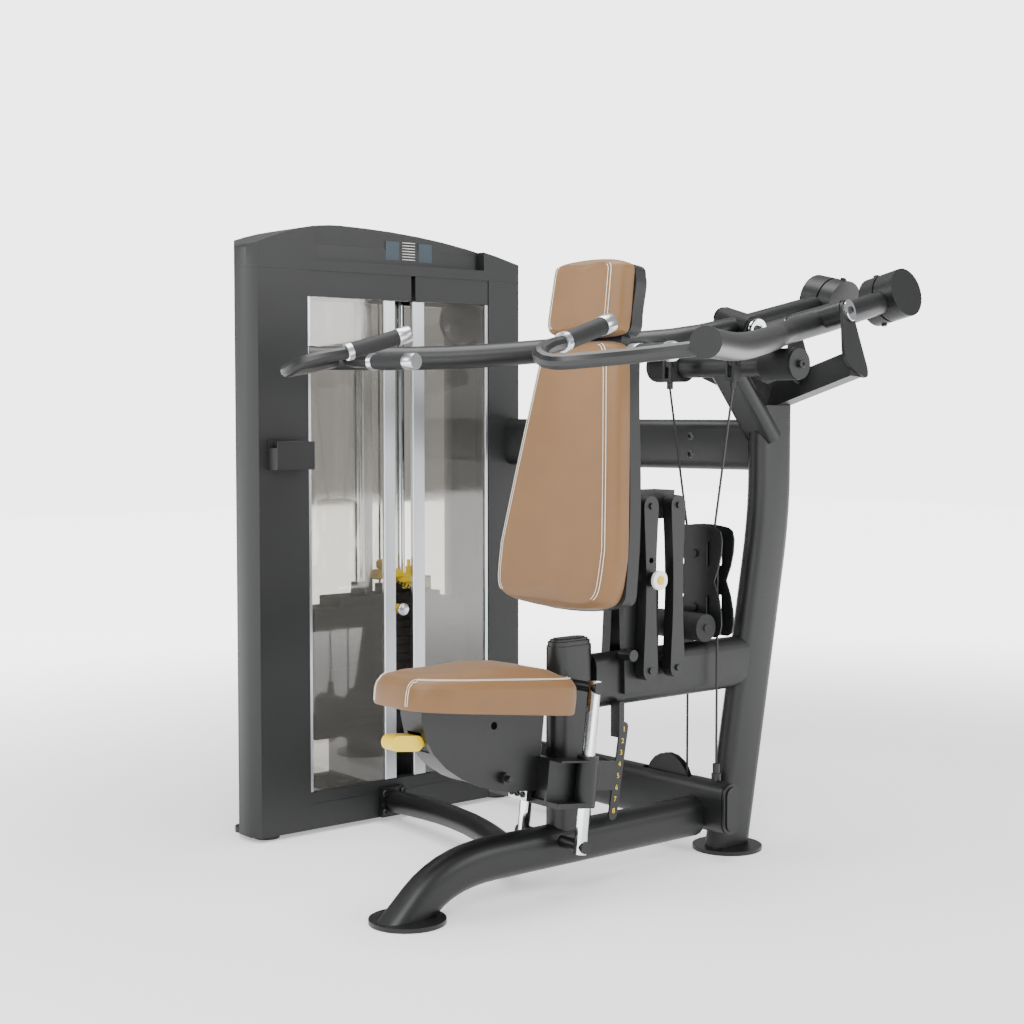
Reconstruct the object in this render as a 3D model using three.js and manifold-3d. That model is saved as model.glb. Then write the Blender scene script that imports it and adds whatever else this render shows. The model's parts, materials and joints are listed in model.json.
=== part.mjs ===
// Selectorised shoulder press machine: a weight tower, a seat frame and two counterbalanced press arms.
// Millimetres, +Z up. The origin is on the floor at the centre of the rear foot plate.
// X = 0 is the middle plane of the seat, +X is the seated user's left and -Y is the way the user faces.
import * as THREE from 'three';
import { mergeVertices } from 'three/addons/utils/BufferGeometryUtils.js';
import Module from 'manifold-3d';

const wasm = await Module();
wasm.setup();

// ---------------------------------------------------------------- driving dimensions
const GAP = 0.3;                                        // clearance between touching pieces
const TUBE_LONG = 130, TUBE_SHORT = 60;                 // flat-oval frame tube
const POST_LEAN = 0.179, POST_FOOT_Y = -4, POST_TOP_Y = 147, POST_TOP_Z = 1122;
const CROSS_Y = -95, CROSS_Z = 130, CROSS_END_X = 96;   // low tube from the rear foot to the tower
const BEAM_Z = 474;                                     // beam between the seat post and the rear post
const SEAT_POST_Y = -540, SEAT_POST_TOP = 584;
const FOOT_TUBE_Z = 102, FOOT_TUBE_W = 100, FOOT_TUBE_H = 76, FRONT_FOOT_Y = -1008;
const BRIDGE_Z = 1020;                                  // high tube from the rear post to the tower

const TOWER = { front: -792, waist: -877, back: -1000, y0: -902, y1: -9, seam: 1470, foot: 12 };
const WINDOW = { y0: -735, y1: -135, z0: 110, z1: 1403 };
const STACK = { x: -900, y: -436, halfX: 60, halfY: 252, z0: 236, plate: 23.1, count: 14 };
const ROD_PITCH = 71.5;                                   // guide rods each side of the stack's middle

const CABLE_STUB = 29, CABLE_R = 3, CABLE_Y = -95, ARM_CABLE_Y = -103;
const BLOCK = { low: 624, high: 757, lowR: 53, highR: 44, z0: 554, z1: 828 };
const CROSS_PULLEY = { x: -112, z: 163, r: 62 };
const BASE_PULLEY_R = 44, TOP_PULLEY_R = 60, SIDE_PULLEY_Z = 1361, STACK_PULLEY_Z = 1486;

const SEAT_TILT = -6.64 * Math.PI / 180, SEAT_ORIGIN = [0, -572, 300];
const BACK_TILT = -8.53 * Math.PI / 180, BACK_ORIGIN = [0, -616, 677];
const LINK = { front: -346, rear: -256, low: 494, high: 884, end: 24, waist: 16, x0: 45, x1: 74 };

const ARM_TIP = [680, -797, 1239];                      // front end of the left arm's main tube
const ARM_R = 30, HANDLE_R = 16, GRIP_R = 19;
const PIVOT_AXIS = new THREE.Vector3(0.9455, 0.2399, 0.2208).normalize();
const PIVOT = new THREE.Vector3(135.3, 178, 1337.6);    // middle of the left hub
const HUB_HALF = 70, YOKE_PLATE = 8;
const CLEVIS = [107, -106, 1222];
const WEIGHT_CENTRE = [98, 501, 1405];

// ---------------------------------------------------------------- materials
const paint = (color, roughness = 0.5, metalness = 0.2) =>
  new THREE.MeshStandardMaterial({ color, roughness, metalness });
const MAT = {
  frame: paint('#2b2c2c', 0.45, 0.4), shroud: paint('#3c3e3e', 0.5, 0.2), black: paint('#161717', 0.5, 0.1),
  rubber: paint('#1c1d1e', 0.8, 0), chrome: paint('#d9dadb', 0.12, 1), alu: paint('#c3c6c8', 0.32, 1),
  iron: paint('#34322f', 0.6, 0.5), yellow: paint('#e3c93a', 0.4, 0), leather: paint('#a08461', 0.55, 0),
  clear: paint('#b9b6b1', 0.1, 0), cable: paint('#101112', 0.5, 0), white: paint('#f2f2f0', 0.4, 0),
};

// ---------------------------------------------------------------- solids
function solid(geometry) {
  const g = (geometry.index ? geometry.toNonIndexed() : geometry.clone());
  g.deleteAttribute('normal');
  g.deleteAttribute('uv');
  const merged = mergeVertices(g, 1e-4);
  return new wasm.Manifold(new wasm.Mesh({
    numProp: 3,
    vertProperties: new Float32Array(merged.attributes.position.array),
    triVerts: new Uint32Array(merged.index.array),
  }));
}

function geometryOf(body) {
  const mesh = body.getMesh();
  const g = new THREE.BufferGeometry();
  g.setAttribute('position', new THREE.BufferAttribute(new Float32Array(mesh.vertProperties), 3));
  g.setIndex(new THREE.BufferAttribute(new Uint32Array(mesh.triVerts), 1));
  return g;
}

const place = (geometry, matrix) => geometry.clone().applyMatrix4(matrix);
const union = (...bodies) => bodies.reduce((a, b) => a.add(b));
const cut = (body, ...tools) => tools.reduce((a, b) => a.subtract(b), body);

// The same solid on the other side of the seat's middle plane.
function mirrored(body) {
  const g = geometryOf(body);
  const p = g.attributes.position;
  for (let i = 0; i < p.count; i++) p.setX(i, -p.getX(i));
  const index = g.index.array;
  for (let i = 0; i < index.length; i += 3) [index[i + 1], index[i + 2]] = [index[i + 2], index[i + 1]];
  return solid(g);
}

function box(x0, x1, y0, y1, z0, z1) {
  const g = new THREE.BoxGeometry(x1 - x0, y1 - y0, z1 - z0);
  return solid(g.translate((x0 + x1) / 2, (y0 + y1) / 2, (z0 + z1) / 2));
}

// A matrix that carries local +Z onto the line from a to b, with the origin at a.
function along(a, b) {
  const from = new THREE.Vector3(...a), dir = new THREE.Vector3(...b).sub(from).normalize();
  const turn = new THREE.Quaternion().setFromUnitVectors(new THREE.Vector3(0, 0, 1), dir);
  return new THREE.Matrix4().compose(from, turn, new THREE.Vector3(1, 1, 1));
}

function rod(a, b, radius, sides = 14) {
  const length = new THREE.Vector3(...a).distanceTo(new THREE.Vector3(...b));
  const g = new THREE.CylinderGeometry(radius, radius, length, sides).rotateX(Math.PI / 2);
  return solid(place(g.translate(0, 0, length / 2), along(a, b)));
}

function ring(a, b, outer, inner, sides = 14) {
  const va = new THREE.Vector3(...a), vb = new THREE.Vector3(...b);
  const run = vb.clone().sub(va).normalize();
  return cut(rod(a, b, outer, sides), rod(va.sub(run).toArray(), vb.add(run).toArray(), inner, sides));
}

// A flat-oval outline, w across x and h across y.
function oval(w, h) {
  const r = Math.min(w, h) / 2, dx = w / 2 - r, dy = h / 2 - r;
  const s = new THREE.Shape();
  if (dx > 0) {
    s.absarc(dx, 0, r, -Math.PI / 2, Math.PI / 2, false);
    s.absarc(-dx, 0, r, Math.PI / 2, 1.5 * Math.PI, false);
  } else {
    s.absarc(0, dy, r, 0, Math.PI, false);
    s.absarc(0, -dy, r, Math.PI, 2 * Math.PI, false);
  }
  return s;
}

const extrude = (shape, depth, curveSegments = 4) =>
  new THREE.ExtrudeGeometry(shape, { depth, curveSegments, bevelEnabled: false, steps: 1 });

// An outline drawn in (y, z) and extruded from x0 to x1.
function slabX(shape, x0, x1, curveSegments = 4) {
  const turn = new THREE.Matrix4().makeBasis(
    new THREE.Vector3(0, 1, 0), new THREE.Vector3(0, 0, 1), new THREE.Vector3(1, 0, 0));
  return solid(place(extrude(shape, x1 - x0, curveSegments), turn).translate(x0, 0, 0));
}

// An outline drawn in (x, z) and extruded from y0 to y1.
function slabY(shape, y0, y1, curveSegments = 4) {
  const turn = new THREE.Matrix4().makeBasis(
    new THREE.Vector3(1, 0, 0), new THREE.Vector3(0, 0, 1), new THREE.Vector3(0, -1, 0));
  return solid(place(extrude(shape, y1 - y0, curveSegments), turn).translate(0, y1, 0));
}

// An outline drawn in (x, y) and extruded from z0 to z1.
const slabZ = (shape, z0, z1, curveSegments = 4) =>
  solid(extrude(shape, z1 - z0, curveSegments).translate(0, 0, z0));

function polygon(points) {
  const s = new THREE.Shape();
  points.forEach(([x, y], i) => (i ? s.lineTo(x, y) : s.moveTo(x, y)));
  s.closePath();
  return s;
}

const v = (x, y, z) => new THREE.Vector3(x, y, z);

// Points round a corner, and points on a smooth curve through all of the given points.
const bend = (a, corner, b, n = 5) => new THREE.QuadraticBezierCurve3(v(...a), v(...corner), v(...b)).getPoints(n);
const smooth = (points, n) => new THREE.CatmullRomCurve3(points.map((p) => v(...p)), false, 'centripetal')
  .getSpacedPoints(n);

// A route with one section at every listed point.
class Stations extends THREE.Curve {
  constructor(points) {
    super();
    this.points = points;
  }

  getPoint(t, target = new THREE.Vector3()) {
    const last = this.points.length - 1, s = t * last, i = Math.min(Math.floor(s + 1e-9), last - 1);
    return target.copy(this.points[i]).lerp(this.points[i + 1], s - i);
  }

  getPointAt(u, target) {
    return this.getPoint(u, target);
  }

  getTangentAt(u, target = new THREE.Vector3()) {
    const last = this.points.length - 1, i = Math.round(u * last);
    const [a, b, c] = [this.points[Math.max(i - 1, 0)], this.points[i], this.points[Math.min(i + 1, last)]];
    return target.copy(b.clone().sub(a).normalize().add(c.clone().sub(b).normalize())).normalize();
  }
}

function sweep(shape, points, curveSegments = 4) {
  return solid(new THREE.ExtrudeGeometry(shape, {
    extrudePath: new Stations(points), steps: points.length - 1, curveSegments }));
}
const hose = (points, radius, sides = 3) => sweep(circle(radius), points, sides);

// Points on a circle about a centre, from angle a0 to a1 in the plane of the unit vectors e1 and e2.
function turn(centre, radius, e1, e2, a0, a1, steps = 8) {
  return Array.from({ length: steps + 1 }, (_, i) => {
    const a = a0 + ((a1 - a0) * i) / steps;
    return v(...centre).addScaledVector(e1, radius * Math.cos(a)).addScaledVector(e2, radius * Math.sin(a));
  });
}
const EX = new THREE.Vector3(1, 0, 0), EY = new THREE.Vector3(0, 1, 0), EZ = new THREE.Vector3(0, 0, 1);

function circle(radius) {
  return new THREE.Shape().absarc(0, 0, radius, 0, 2 * Math.PI, false);
}

// ---------------------------------------------------------------- scene graph
const machine = new THREE.Group();
const group = () => {
  const g = new THREE.Group();
  machine.add(g);
  return g;
};
const [frame, tower, stack, cables, seat, back, arms] = Array.from({ length: 7 }, group);
seat.position.set(...SEAT_ORIGIN);
seat.rotation.x = SEAT_TILT;
back.position.set(...BACK_ORIGIN);
back.rotation.x = BACK_TILT;

function add(parent, name, body, material) {
  const mesh = new THREE.Mesh(geometryOf(body.asOriginal().simplify(0.04)), material);
  mesh.name = name;
  parent.add(mesh);
}

function addPair(parent, name, leftBody, material) {
  add(parent, `left_${name}`, leftBody, material);
  add(parent, `right_${name}`, mirrored(leftBody), material);
}

// ---------------------------------------------------------------- frame
const postY = (z) => POST_FOOT_Y + POST_LEAN * z;

function rearPost(grow = 0) {
  const bendStart = 720, bendEnd = 940;
  const corner = (POST_TOP_Y - POST_FOOT_Y) / POST_LEAN;
  const tube = sweep(oval(TUBE_SHORT + 2 * grow, TUBE_LONG + 2 * grow), [v(0, postY(-60), -60),
    ...bend([0, postY(bendStart), bendStart], [0, POST_TOP_Y, corner], [0, POST_TOP_Y, bendEnd]),
    v(0, POST_TOP_Y, POST_TOP_Z + grow)]);
  return cut(tube, box(-200, 200, -300, 300, -200, 10 + GAP - grow));
}

function bridge(grow = 0) {
  const a = [-TUBE_SHORT / 2 + 12, POST_TOP_Y - 2, BRIDGE_Z], b = [TOWER.front - 40, -57, BRIDGE_Z];
  const length = v(...a).distanceTo(v(...b));
  const g = extrude(oval(TUBE_SHORT + 2 * grow, TUBE_LONG + 2 * grow), length);
  const dir = v(...b).sub(v(...a)).normalize();
  const turn = new THREE.Matrix4().makeBasis(v(-dir.y, dir.x, 0), v(0, 0, 1), dir).setPosition(...a);
  return solid(place(g, turn));
}

const footTube = (grow = 0) => cut(
  sweep(oval(FOOT_TUBE_W + 2 * grow, FOOT_TUBE_H + 2 * grow), [
    v(0, CROSS_Y - TUBE_SHORT / 2 - GAP, FOOT_TUBE_Z),
    ...bend([0, -770, FOOT_TUBE_Z], [0, -905, FOOT_TUBE_Z], [0, -975, 40], 7), v(0, -1064, -39)]),
  box(-200, 200, -1300, 300, -300, 5));

function stopBar() {
  const disc = (x0, x1) => rod([x0, -20, 1220], [x1, -20, 1220], 37.5, 24);
  return union(rod([-240, -20, 1220], [240, -20, 1220], 29), disc(-243, -237), disc(237, 243),
    rod([-248, -20, 1220], [-242, -20, 1220], 8, 12), rod([242, -20, 1220], [248, -20, 1220], 8, 12));
}

// Local frame of the left pivot: x runs rearwards, y upwards and z outwards along the pivot axis.
const pivotX = v(-PIVOT_AXIS.y, PIVOT_AXIS.x, 0).normalize();
const pivotY = PIVOT_AXIS.clone().cross(pivotX);
const pivotFrame = new THREE.Matrix4().makeBasis(pivotX, pivotY, PIVOT_AXIS).setPosition(PIVOT);

function pivotSlab(shape, z0, z1) {
  return solid(place(extrude(shape, z1 - z0, 6).translate(0, 0, z0), pivotFrame));
}

function pivotRod(radius, z0, z1, sides = 28) {
  return pivotSlab(circle(radius), z0, z1);
}

function yokeArm(grow = 0) {
  const a = [-10, 168, 1142], b = [262, 190, 1230];
  const dir = v(...b).sub(v(...a)).normalize(), side = v(-dir.y, dir.x, 0).normalize();
  const half = 30 + grow;
  const outline = polygon([[-half, -half], [half, -half], [half, half], [-half, half]]);
  const turn = new THREE.Matrix4().makeBasis(side, dir.clone().cross(side), dir).setPosition(...a);
  return solid(place(extrude(outline, v(...a).distanceTo(v(...b))), turn));
}

function yoke(grow = 0) {
  const beyond = pivotSlab(polygon([[-300, -300], [300, -300], [300, 300], [-300, 300]]), HUB_HALF + 3, 400);
  const arm = cut(yokeArm(grow), beyond);
  return union(arm, mirrored(arm));
}

function yokePlate(z0, z1) {
  const s = new THREE.Shape();
  s.absarc(0, 0, 28, 0, Math.PI, false);
  s.lineTo(-64, -98);
  s.quadraticCurveTo(-72, -128, -42, -146);
  s.lineTo(22, -168);
  s.quadraticCurveTo(50, -172, 50, -142);
  s.closePath();
  return pivotSlab(s, z0, z1);
}

function buildFrame() {
  const post = rearPost(), postGrown = rearPost(GAP);
  add(frame, 'rear_foot_plate', rod([0, 0, 0], [0, 0, 10], 88, 30), MAT.frame);
  const crossLine = box(-TUBE_SHORT, TUBE_SHORT, CROSS_Y - 40, CROSS_Y + TUBE_SHORT / 2 + GAP, 0, 220);
  add(frame, 'rear_post', cut(post, yoke(GAP), crossLine), MAT.frame);
  const plates = union(yokePlate(HUB_HALF + 0.5, HUB_HALF + 0.5 + YOKE_PLATE),
    cut(yokePlate(-HUB_HALF - 0.5 - YOKE_PLATE, -HUB_HALF - 0.5), box(-20, 40, -200, 400, 900, 1600)));
  const shaftBore = pivotRod(12.5 + GAP, -120, 120);
  const bored = cut(plates, shaftBore);
  add(frame, 'pivot_yoke', cut(union(yoke(), bored, mirrored(bored)), shaftBore, mirrored(shaftBore)), MAT.frame);

  const beamOval = oval(TUBE_SHORT, TUBE_LONG);
  const beam = slabY(beamOval, SEAT_POST_Y + 60 + GAP, 75).translate([0, 0, BEAM_Z]);
  const axles = [LINK.front, LINK.rear].map((y) => rod([-60, y, LINK.low], [60, y, LINK.low], 10.6, 14));
  add(frame, 'middle_beam', cut(union(cut(beam, postGrown), lockSector(), heightRule()), ...axles), MAT.frame);
  add(frame, 'bridge_tube', cut(bridge(), postGrown, box(-1200, TOWER.front + GAP, -300, 300, 800, 1200)), MAT.frame);

  // The seat's guide rods hang between a bar through the seat post and a bar through the foot tube.
  const crown = [[0, 18], [3, 8], [8, 3], [16, 0]].map(([inset, drop]) =>
    slabZ(oval(TUBE_SHORT - 2 * inset, 120 - 2 * inset), SEAT_POST_TOP - 60, SEAT_POST_TOP - drop));
  const seatPost = union(slabZ(oval(TUBE_SHORT, 120), FOOT_TUBE_Z, SEAT_POST_TOP - 40), ...crown)
    .translate([0, SEAT_POST_Y, 0]);
  const topBar = union(rod([-118, -552, 478], [118, -552, 478], 12, 14), rod([112, -552, 478], [119, -552, 478], 14, 14),
    rod([-119, -552, 478], [-112, -552, 478], 14, 14));
  add(frame, 'seat_post', union(cut(seatPost, footTube(GAP)), topBar), MAT.frame);
  const disc = rod([0, FRONT_FOOT_Y, 0], [0, FRONT_FOOT_Y, 10], 85.5, 30);
  add(frame, 'front_foot_tube', union(footTube(), disc, rod([-118, -592, 118], [118, -592, 118], 14, 14)),
    MAT.frame);

  const wall = 4;
  const tube = slabX(oval(TUBE_SHORT, TUBE_LONG), TOWER.front + GAP, CROSS_END_X)
    .translate([0, CROSS_Y, CROSS_Z]);
  const bore = slabX(oval(TUBE_SHORT - 2 * wall, TUBE_LONG - 2 * wall), TOWER.front - 20, CROSS_END_X + 20)
    .translate([0, CROSS_Y, CROSS_Z]);
  const dome = union(
    slabX(oval(TUBE_SHORT - 4, TUBE_LONG - 4), CROSS_END_X - 4, 103).translate([0, CROSS_Y, CROSS_Z]),
    slabX(oval(TUBE_SHORT - 20, TUBE_LONG - 20), 102, 107).translate([0, CROSS_Y, CROSS_Z]));
  add(frame, 'rear_cross_tube', union(cut(tube, bore, box(-196, -28, CROSS_Y - 14, CROSS_Y + 14, 150, 260)), dome),
    MAT.frame);

  const linkRoute = smooth([[-778, -480, 54], [-690, -482, 58], [-560, -492, 64], [-400, -520, 68],
    [-250, -565, 68], [-120, -620, 68], [-44, -660, 68]], 10);
  add(frame, 'tower_link_tube', union(cut(hose(linkRoute, 30, 7), footTube(GAP)),
    box(TOWER.front + GAP, -776, -518, -442, 14, 92),
    ...[-1, 1].map((s) => rod([-777, -480 + s * 34, 53], [-771, -480 + s * 34, 53], 5, 6))), MAT.frame);

  const brace = (grow = 0) => {
    const a = [0, 128, 1040], b = [0, -20, 1220];
    const g = extrude(oval(TUBE_LONG - 30 + 2 * grow, 50 + 2 * grow), v(...a).distanceTo(v(...b)));
    const dir = v(...b).sub(v(...a)).normalize();
    const turn = new THREE.Matrix4().makeBasis(v(1, 0, 0), dir.clone().cross(v(1, 0, 0)), dir).setPosition(...a);
    return solid(place(g, turn));
  };
  add(frame, 'arm_stop_bar', union(cut(brace(), postGrown, bridge(GAP), yoke(GAP)), stopBar()), MAT.frame);
  addPair(frame, 'stop_sleeve', ring([140, -20, 1220], [236.6, -20, 1220], 39, 29.4, 22), MAT.rubber);
}

// ---------------------------------------------------------------- tower
// A hollow column with a broad opening towards the weights. side is -1 for the front column, 1 for the rear.
function column(edge, outerY, side) {
  const { front: f, waist, back: b } = TOWER;
  const outline = (i) => {
    const y = outerY - side * i;
    return polygon([[f - i, edge + side * i], [f - i, y - side * 17], [f - 26, y], [waist, y],
      [b + i, y - side * 74], [b + i, edge + side * i]]);
  };
  const opening = box(b + 34, f - 34, edge - 6, edge + 6, TOWER.foot + 6, TOWER.seam + 5);
  const feet = [-842, -936].map((x) => rod([x, outerY - side * 62, 0], [x, outerY - side * 62, TOWER.foot + 2], 34, 16));
  return union(cut(slabZ(outline(0), TOWER.foot, TOWER.seam - GAP), slabZ(outline(3), TOWER.foot + 6, TOWER.seam + 5),
    opening), ...feet);
}

// The whole tower seen from above: chamfered front corners, and sides that draw in behind the columns.
function towerPlan(i) {
  const { front: f, waist, back: b, y0, y1 } = TOWER;
  return polygon([[f - i, y0 + 17 + i], [f - 26 - i, y0 + i], [waist, y0 + i], [b + i, y0 + 74 + i],
    [b + i, y1 - 74 - i], [waist, y1 - i], [f - 26 - i, y1 - i], [f - i, y1 - 17 - i]]);
}

function capProfile(inset) {
  const s = new THREE.Shape();
  const y0 = TOWER.y0 + inset, y1 = TOWER.y1 - inset;
  s.moveTo(y0, TOWER.seam);
  s.lineTo(y0, 1520 - inset);
  s.quadraticCurveTo(y0 + 4, 1530 - inset, y0 + 16, 1533 - inset);
  s.bezierCurveTo(-775, 1578 - inset, -690, 1593 - inset, -618, 1593 - inset);
  s.bezierCurveTo(-420, 1590 - inset, -220, 1572 - inset, y1 - 18, 1519 - inset);
  s.quadraticCurveTo(y1 - 2, 1514 - inset, y1, 1502 - inset);
  s.lineTo(y1, TOWER.seam);
  s.closePath();
  return s;
}

function buildTower() {
  const f = TOWER.front, b = TOWER.back;
  const tray = union(
    box(f - 2, f + 4, -860, -748, 958, 1034), box(f + 3, f + 46, -860, -748, 958, 964),
    box(f + 42, f + 46, -860, -748, 963, 984), box(f + 3, f + 46, -860, -856, 963, 1014),
    ...[-838, -770].map((y) => rod([f + 3, y, 1020], [f + 8, y, 1020], 7, 12)));
  add(tower, 'tower_front_column', union(column(WINDOW.y0, TOWER.y0, -1), tray), MAT.shroud);
  const tubeMouth = slabX(oval(54, 124), f - 40, f + 10).translate([0, CROSS_Y, CROSS_Z]);
  add(tower, 'tower_rear_column', cut(column(WINDOW.y1, TOWER.y1, 1), tubeMouth), MAT.shroud);

  // The arched cap carries the header panels above both windows.
  const outer = slabX(capProfile(0), b, f, 7).intersect(slabZ(towerPlan(0), 1400, 1700));
  const inner = slabX(capProfile(5), b + 5, f - 32, 7).translate([0, 0, -0.5])
    .intersect(slabZ(towerPlan(5), 1400, 1700));
  const recess = box(f - 27, f + 5, -712, -152, 1497, 1700);
  const headers = [[f - 30, f - 2, WINDOW.y0 + 1, -402], [f - 30, f - 2, -388, WINDOW.y1 - 1],
    [b + 2, b + 30, WINDOW.y0 + 1, WINDOW.y1 - 1]];
  add(tower, 'tower_cap', union(cut(outer, inner, recess),
    ...headers.map(([x0, x1, y0, y1]) => box(x0, x1, y0, y1, WINDOW.z1, TOWER.seam + 1))), MAT.shroud);

  const base = cut(box(b + 2, f - 1, WINDOW.y0 + GAP, WINDOW.y1 - GAP, TOWER.foot, 79),
    box(b + 8, f - 7, WINDOW.y0 + 6, WINDOW.y1 - 6, TOWER.foot + 6, 90));
  add(tower, 'tower_base', union(base, box(b + 20, f - 20, -530, -342, TOWER.foot + 3, 79),
    box(f - 38, f - 2, WINDOW.y0 + GAP, WINDOW.y1 - GAP, 78, WINDOW.z0),
    box(b + 2, b + 38, WINDOW.y0 + GAP, WINDOW.y1 - GAP, 78, WINDOW.z0)), MAT.shroud);

  // Clear shields with an aluminium edge rail stand each side of the slot in front of the weights.
  const z0 = WINDOW.z0 + GAP, z1 = WINDOW.z1 - GAP;
  const shield = (x, y0, y1, r0, r1) => union(box(x, x + 4, y0, y1, z0, z1), box(x - 5, x + 9, r0, r1, z0, z1));
  add(tower, 'front_shield', shield(f - 12, WINDOW.y0 + GAP, -490, -493, -455), MAT.clear);
  add(tower, 'access_shield', shield(f - 12, -360, WINDOW.y1 - GAP, -397, -357), MAT.clear);
  add(tower, 'rear_shield', shield(b + 12, WINDOW.y0 + GAP, WINDOW.y1 - GAP, -430, -402), MAT.clear);
}

// ---------------------------------------------------------------- weight stack
const rodYs = [STACK.y - ROD_PITCH, STACK.y + ROD_PITCH];
const stackTop = STACK.z0 + STACK.plate * STACK.count;

function stackBores(z0, z1) {
  return [...rodYs.map((y) => rod([STACK.x, y, z0], [STACK.x, y, z1], 13.2, 14)),
    rod([STACK.x, STACK.y, z0], [STACK.x, STACK.y, z1], 15, 14)];
}

function buildStack() {
  rodYs.forEach((y, i) => add(stack, `guide_rod_${i ? 'rear' : 'front'}`,
    rod([STACK.x, y, 79 + GAP], [STACK.x, y, 1412], 12.5, 14), MAT.chrome));
  const front = STACK.x + STACK.halfX, rear = STACK.x - STACK.halfX;
  const y0 = STACK.y - STACK.halfY, y1 = STACK.y + STACK.halfY;

  // The plates lie on each other: grooves part them at the front and at both ends.
  const levels = Array.from({ length: STACK.count }, (_, i) => STACK.z0 + i * STACK.plate);
  const grooves = levels.slice(1).map((z) => cut(box(rear - 5, front + 5, y0 - 5, y1 + 5, z - 1.2, z + 1.2),
    box(rear + 3, front - 3, y0 + 3, y1 - 3, z - 5, z + 5)));
  const pinHoles = levels.map((z) => rod([STACK.x, STACK.y, z + STACK.plate / 2],
    [front + 5, STACK.y, z + STACK.plate / 2], 5.5, 8));
  add(stack, 'weight_plates', cut(box(rear, front, y0, y1, STACK.z0, stackTop), ...grooves, ...pinHoles,
    ...stackBores(0, 900)), MAT.iron);

  // The lifting head: top weight, saddle with two guide collars, an add-on weight and the selector rod.
  const pinZ = stackTop + STACK.plate / 2, deck = stackTop + STACK.plate, headTop = deck + 26;
  const pinBore = rod([STACK.x, STACK.y, pinZ], [front + 20, STACK.y, pinZ], 5.4, 12);
  const collars = rodYs.map((y) => rod([STACK.x, y, headTop - 1], [STACK.x, y, headTop + 34], 21, 14));
  const leverZ = headTop + 22, leverY = rodYs[1] + 4;
  const leverBore = rod([STACK.x + 20, leverY, leverZ], [STACK.x + 60, leverY, leverZ], 4.4, 12);
  const head = cut(union(box(rear, front, y0, y1, stackTop + GAP, deck),
    box(rear + 12, front - 6, STACK.y - 167, STACK.y + 167, deck - 1, headTop), ...collars,
    box(STACK.x - 38, STACK.x + 38, rodYs[1] - 22, rodYs[1] + 76, headTop - 1, headTop + 40)),
    ...rodYs.map((y) => rod([STACK.x, y, 0], [STACK.x, y, 900], 13.2, 14)), pinBore, leverBore);
  const selector = cut(rod([STACK.x, STACK.y, 206], [STACK.x, STACK.y, headTop + 26], 14.4, 14),
    pinBore);
  add(stack, 'lifting_head', cut(union(head, selector),
    rod([STACK.x, STACK.y, 100], [STACK.x, STACK.y, 900], 6, 12)), MAT.iron);
  add(stack, 'selector_pin', union(
    rod([STACK.x + 7, STACK.y, pinZ], [front + 12, STACK.y, pinZ], 5, 12),
    rod([front + 11, STACK.y, pinZ], [front + 24, STACK.y, pinZ], 9, 16),
    rod([front + 23, STACK.y, pinZ], [front + 44, STACK.y, pinZ], 13, 14)), MAT.yellow);
  add(stack, 'addon_lever', union(
    box(STACK.x + 39, STACK.x + 49, leverY - 26, leverY + 62, leverZ - 11, leverZ + 11),
    box(STACK.x + 39, STACK.x + 49, leverY - 16, leverY + 16, leverZ + 10, leverZ + 50),
    rod([STACK.x + 41, leverY, leverZ], [STACK.x + 22, leverY, leverZ], 4, 12),
    ...[-8, 8].map((y) => rod([STACK.x + 44, leverY + y, leverZ + 48], [STACK.x + 44, leverY + y, leverZ + 68],
      5, 10))), MAT.yellow);
  const rodClear = rodYs.map((y) => rod([STACK.x, y, 0], [STACK.x, y, 400], 13, 14));
  add(stack, 'stack_pedestal', cut(union(
    box(STACK.x - 45, STACK.x + 45, STACK.y - 142, STACK.y + 142, 79 + GAP, STACK.z0 - 14),
    box(STACK.x - 52, STACK.x + 52, STACK.y - 150, STACK.y + 150, STACK.z0 - 15, STACK.z0 - GAP)),
    ...rodClear, rod([STACK.x, STACK.y, 180], [STACK.x, STACK.y, 400], 18, 14)), MAT.black);
}

// ---------------------------------------------------------------- pulleys and cables
// A grooved wheel: its profile is turned about the axle, which runs along the given direction.
function pulley(centre, axis, grooveR, flangeR, half, boreR = 6) {
  const profile = [[boreR, -half], [flangeR, -half], [flangeR, -half + 1.5], [grooveR - 3.8, -3.6],
    [grooveR - 3.8, 3.6], [flangeR, half - 1.5], [flangeR, half], [boreR, half], [boreR, -half]].map(([r, h]) => new THREE.Vector2(r, h));
  const g = new THREE.LatheGeometry(profile, 20).rotateX(Math.PI / 2);
  const end = centre.map((c, i) => c + axis[i]);
  return solid(place(g, along(centre, end)));
}

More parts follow.
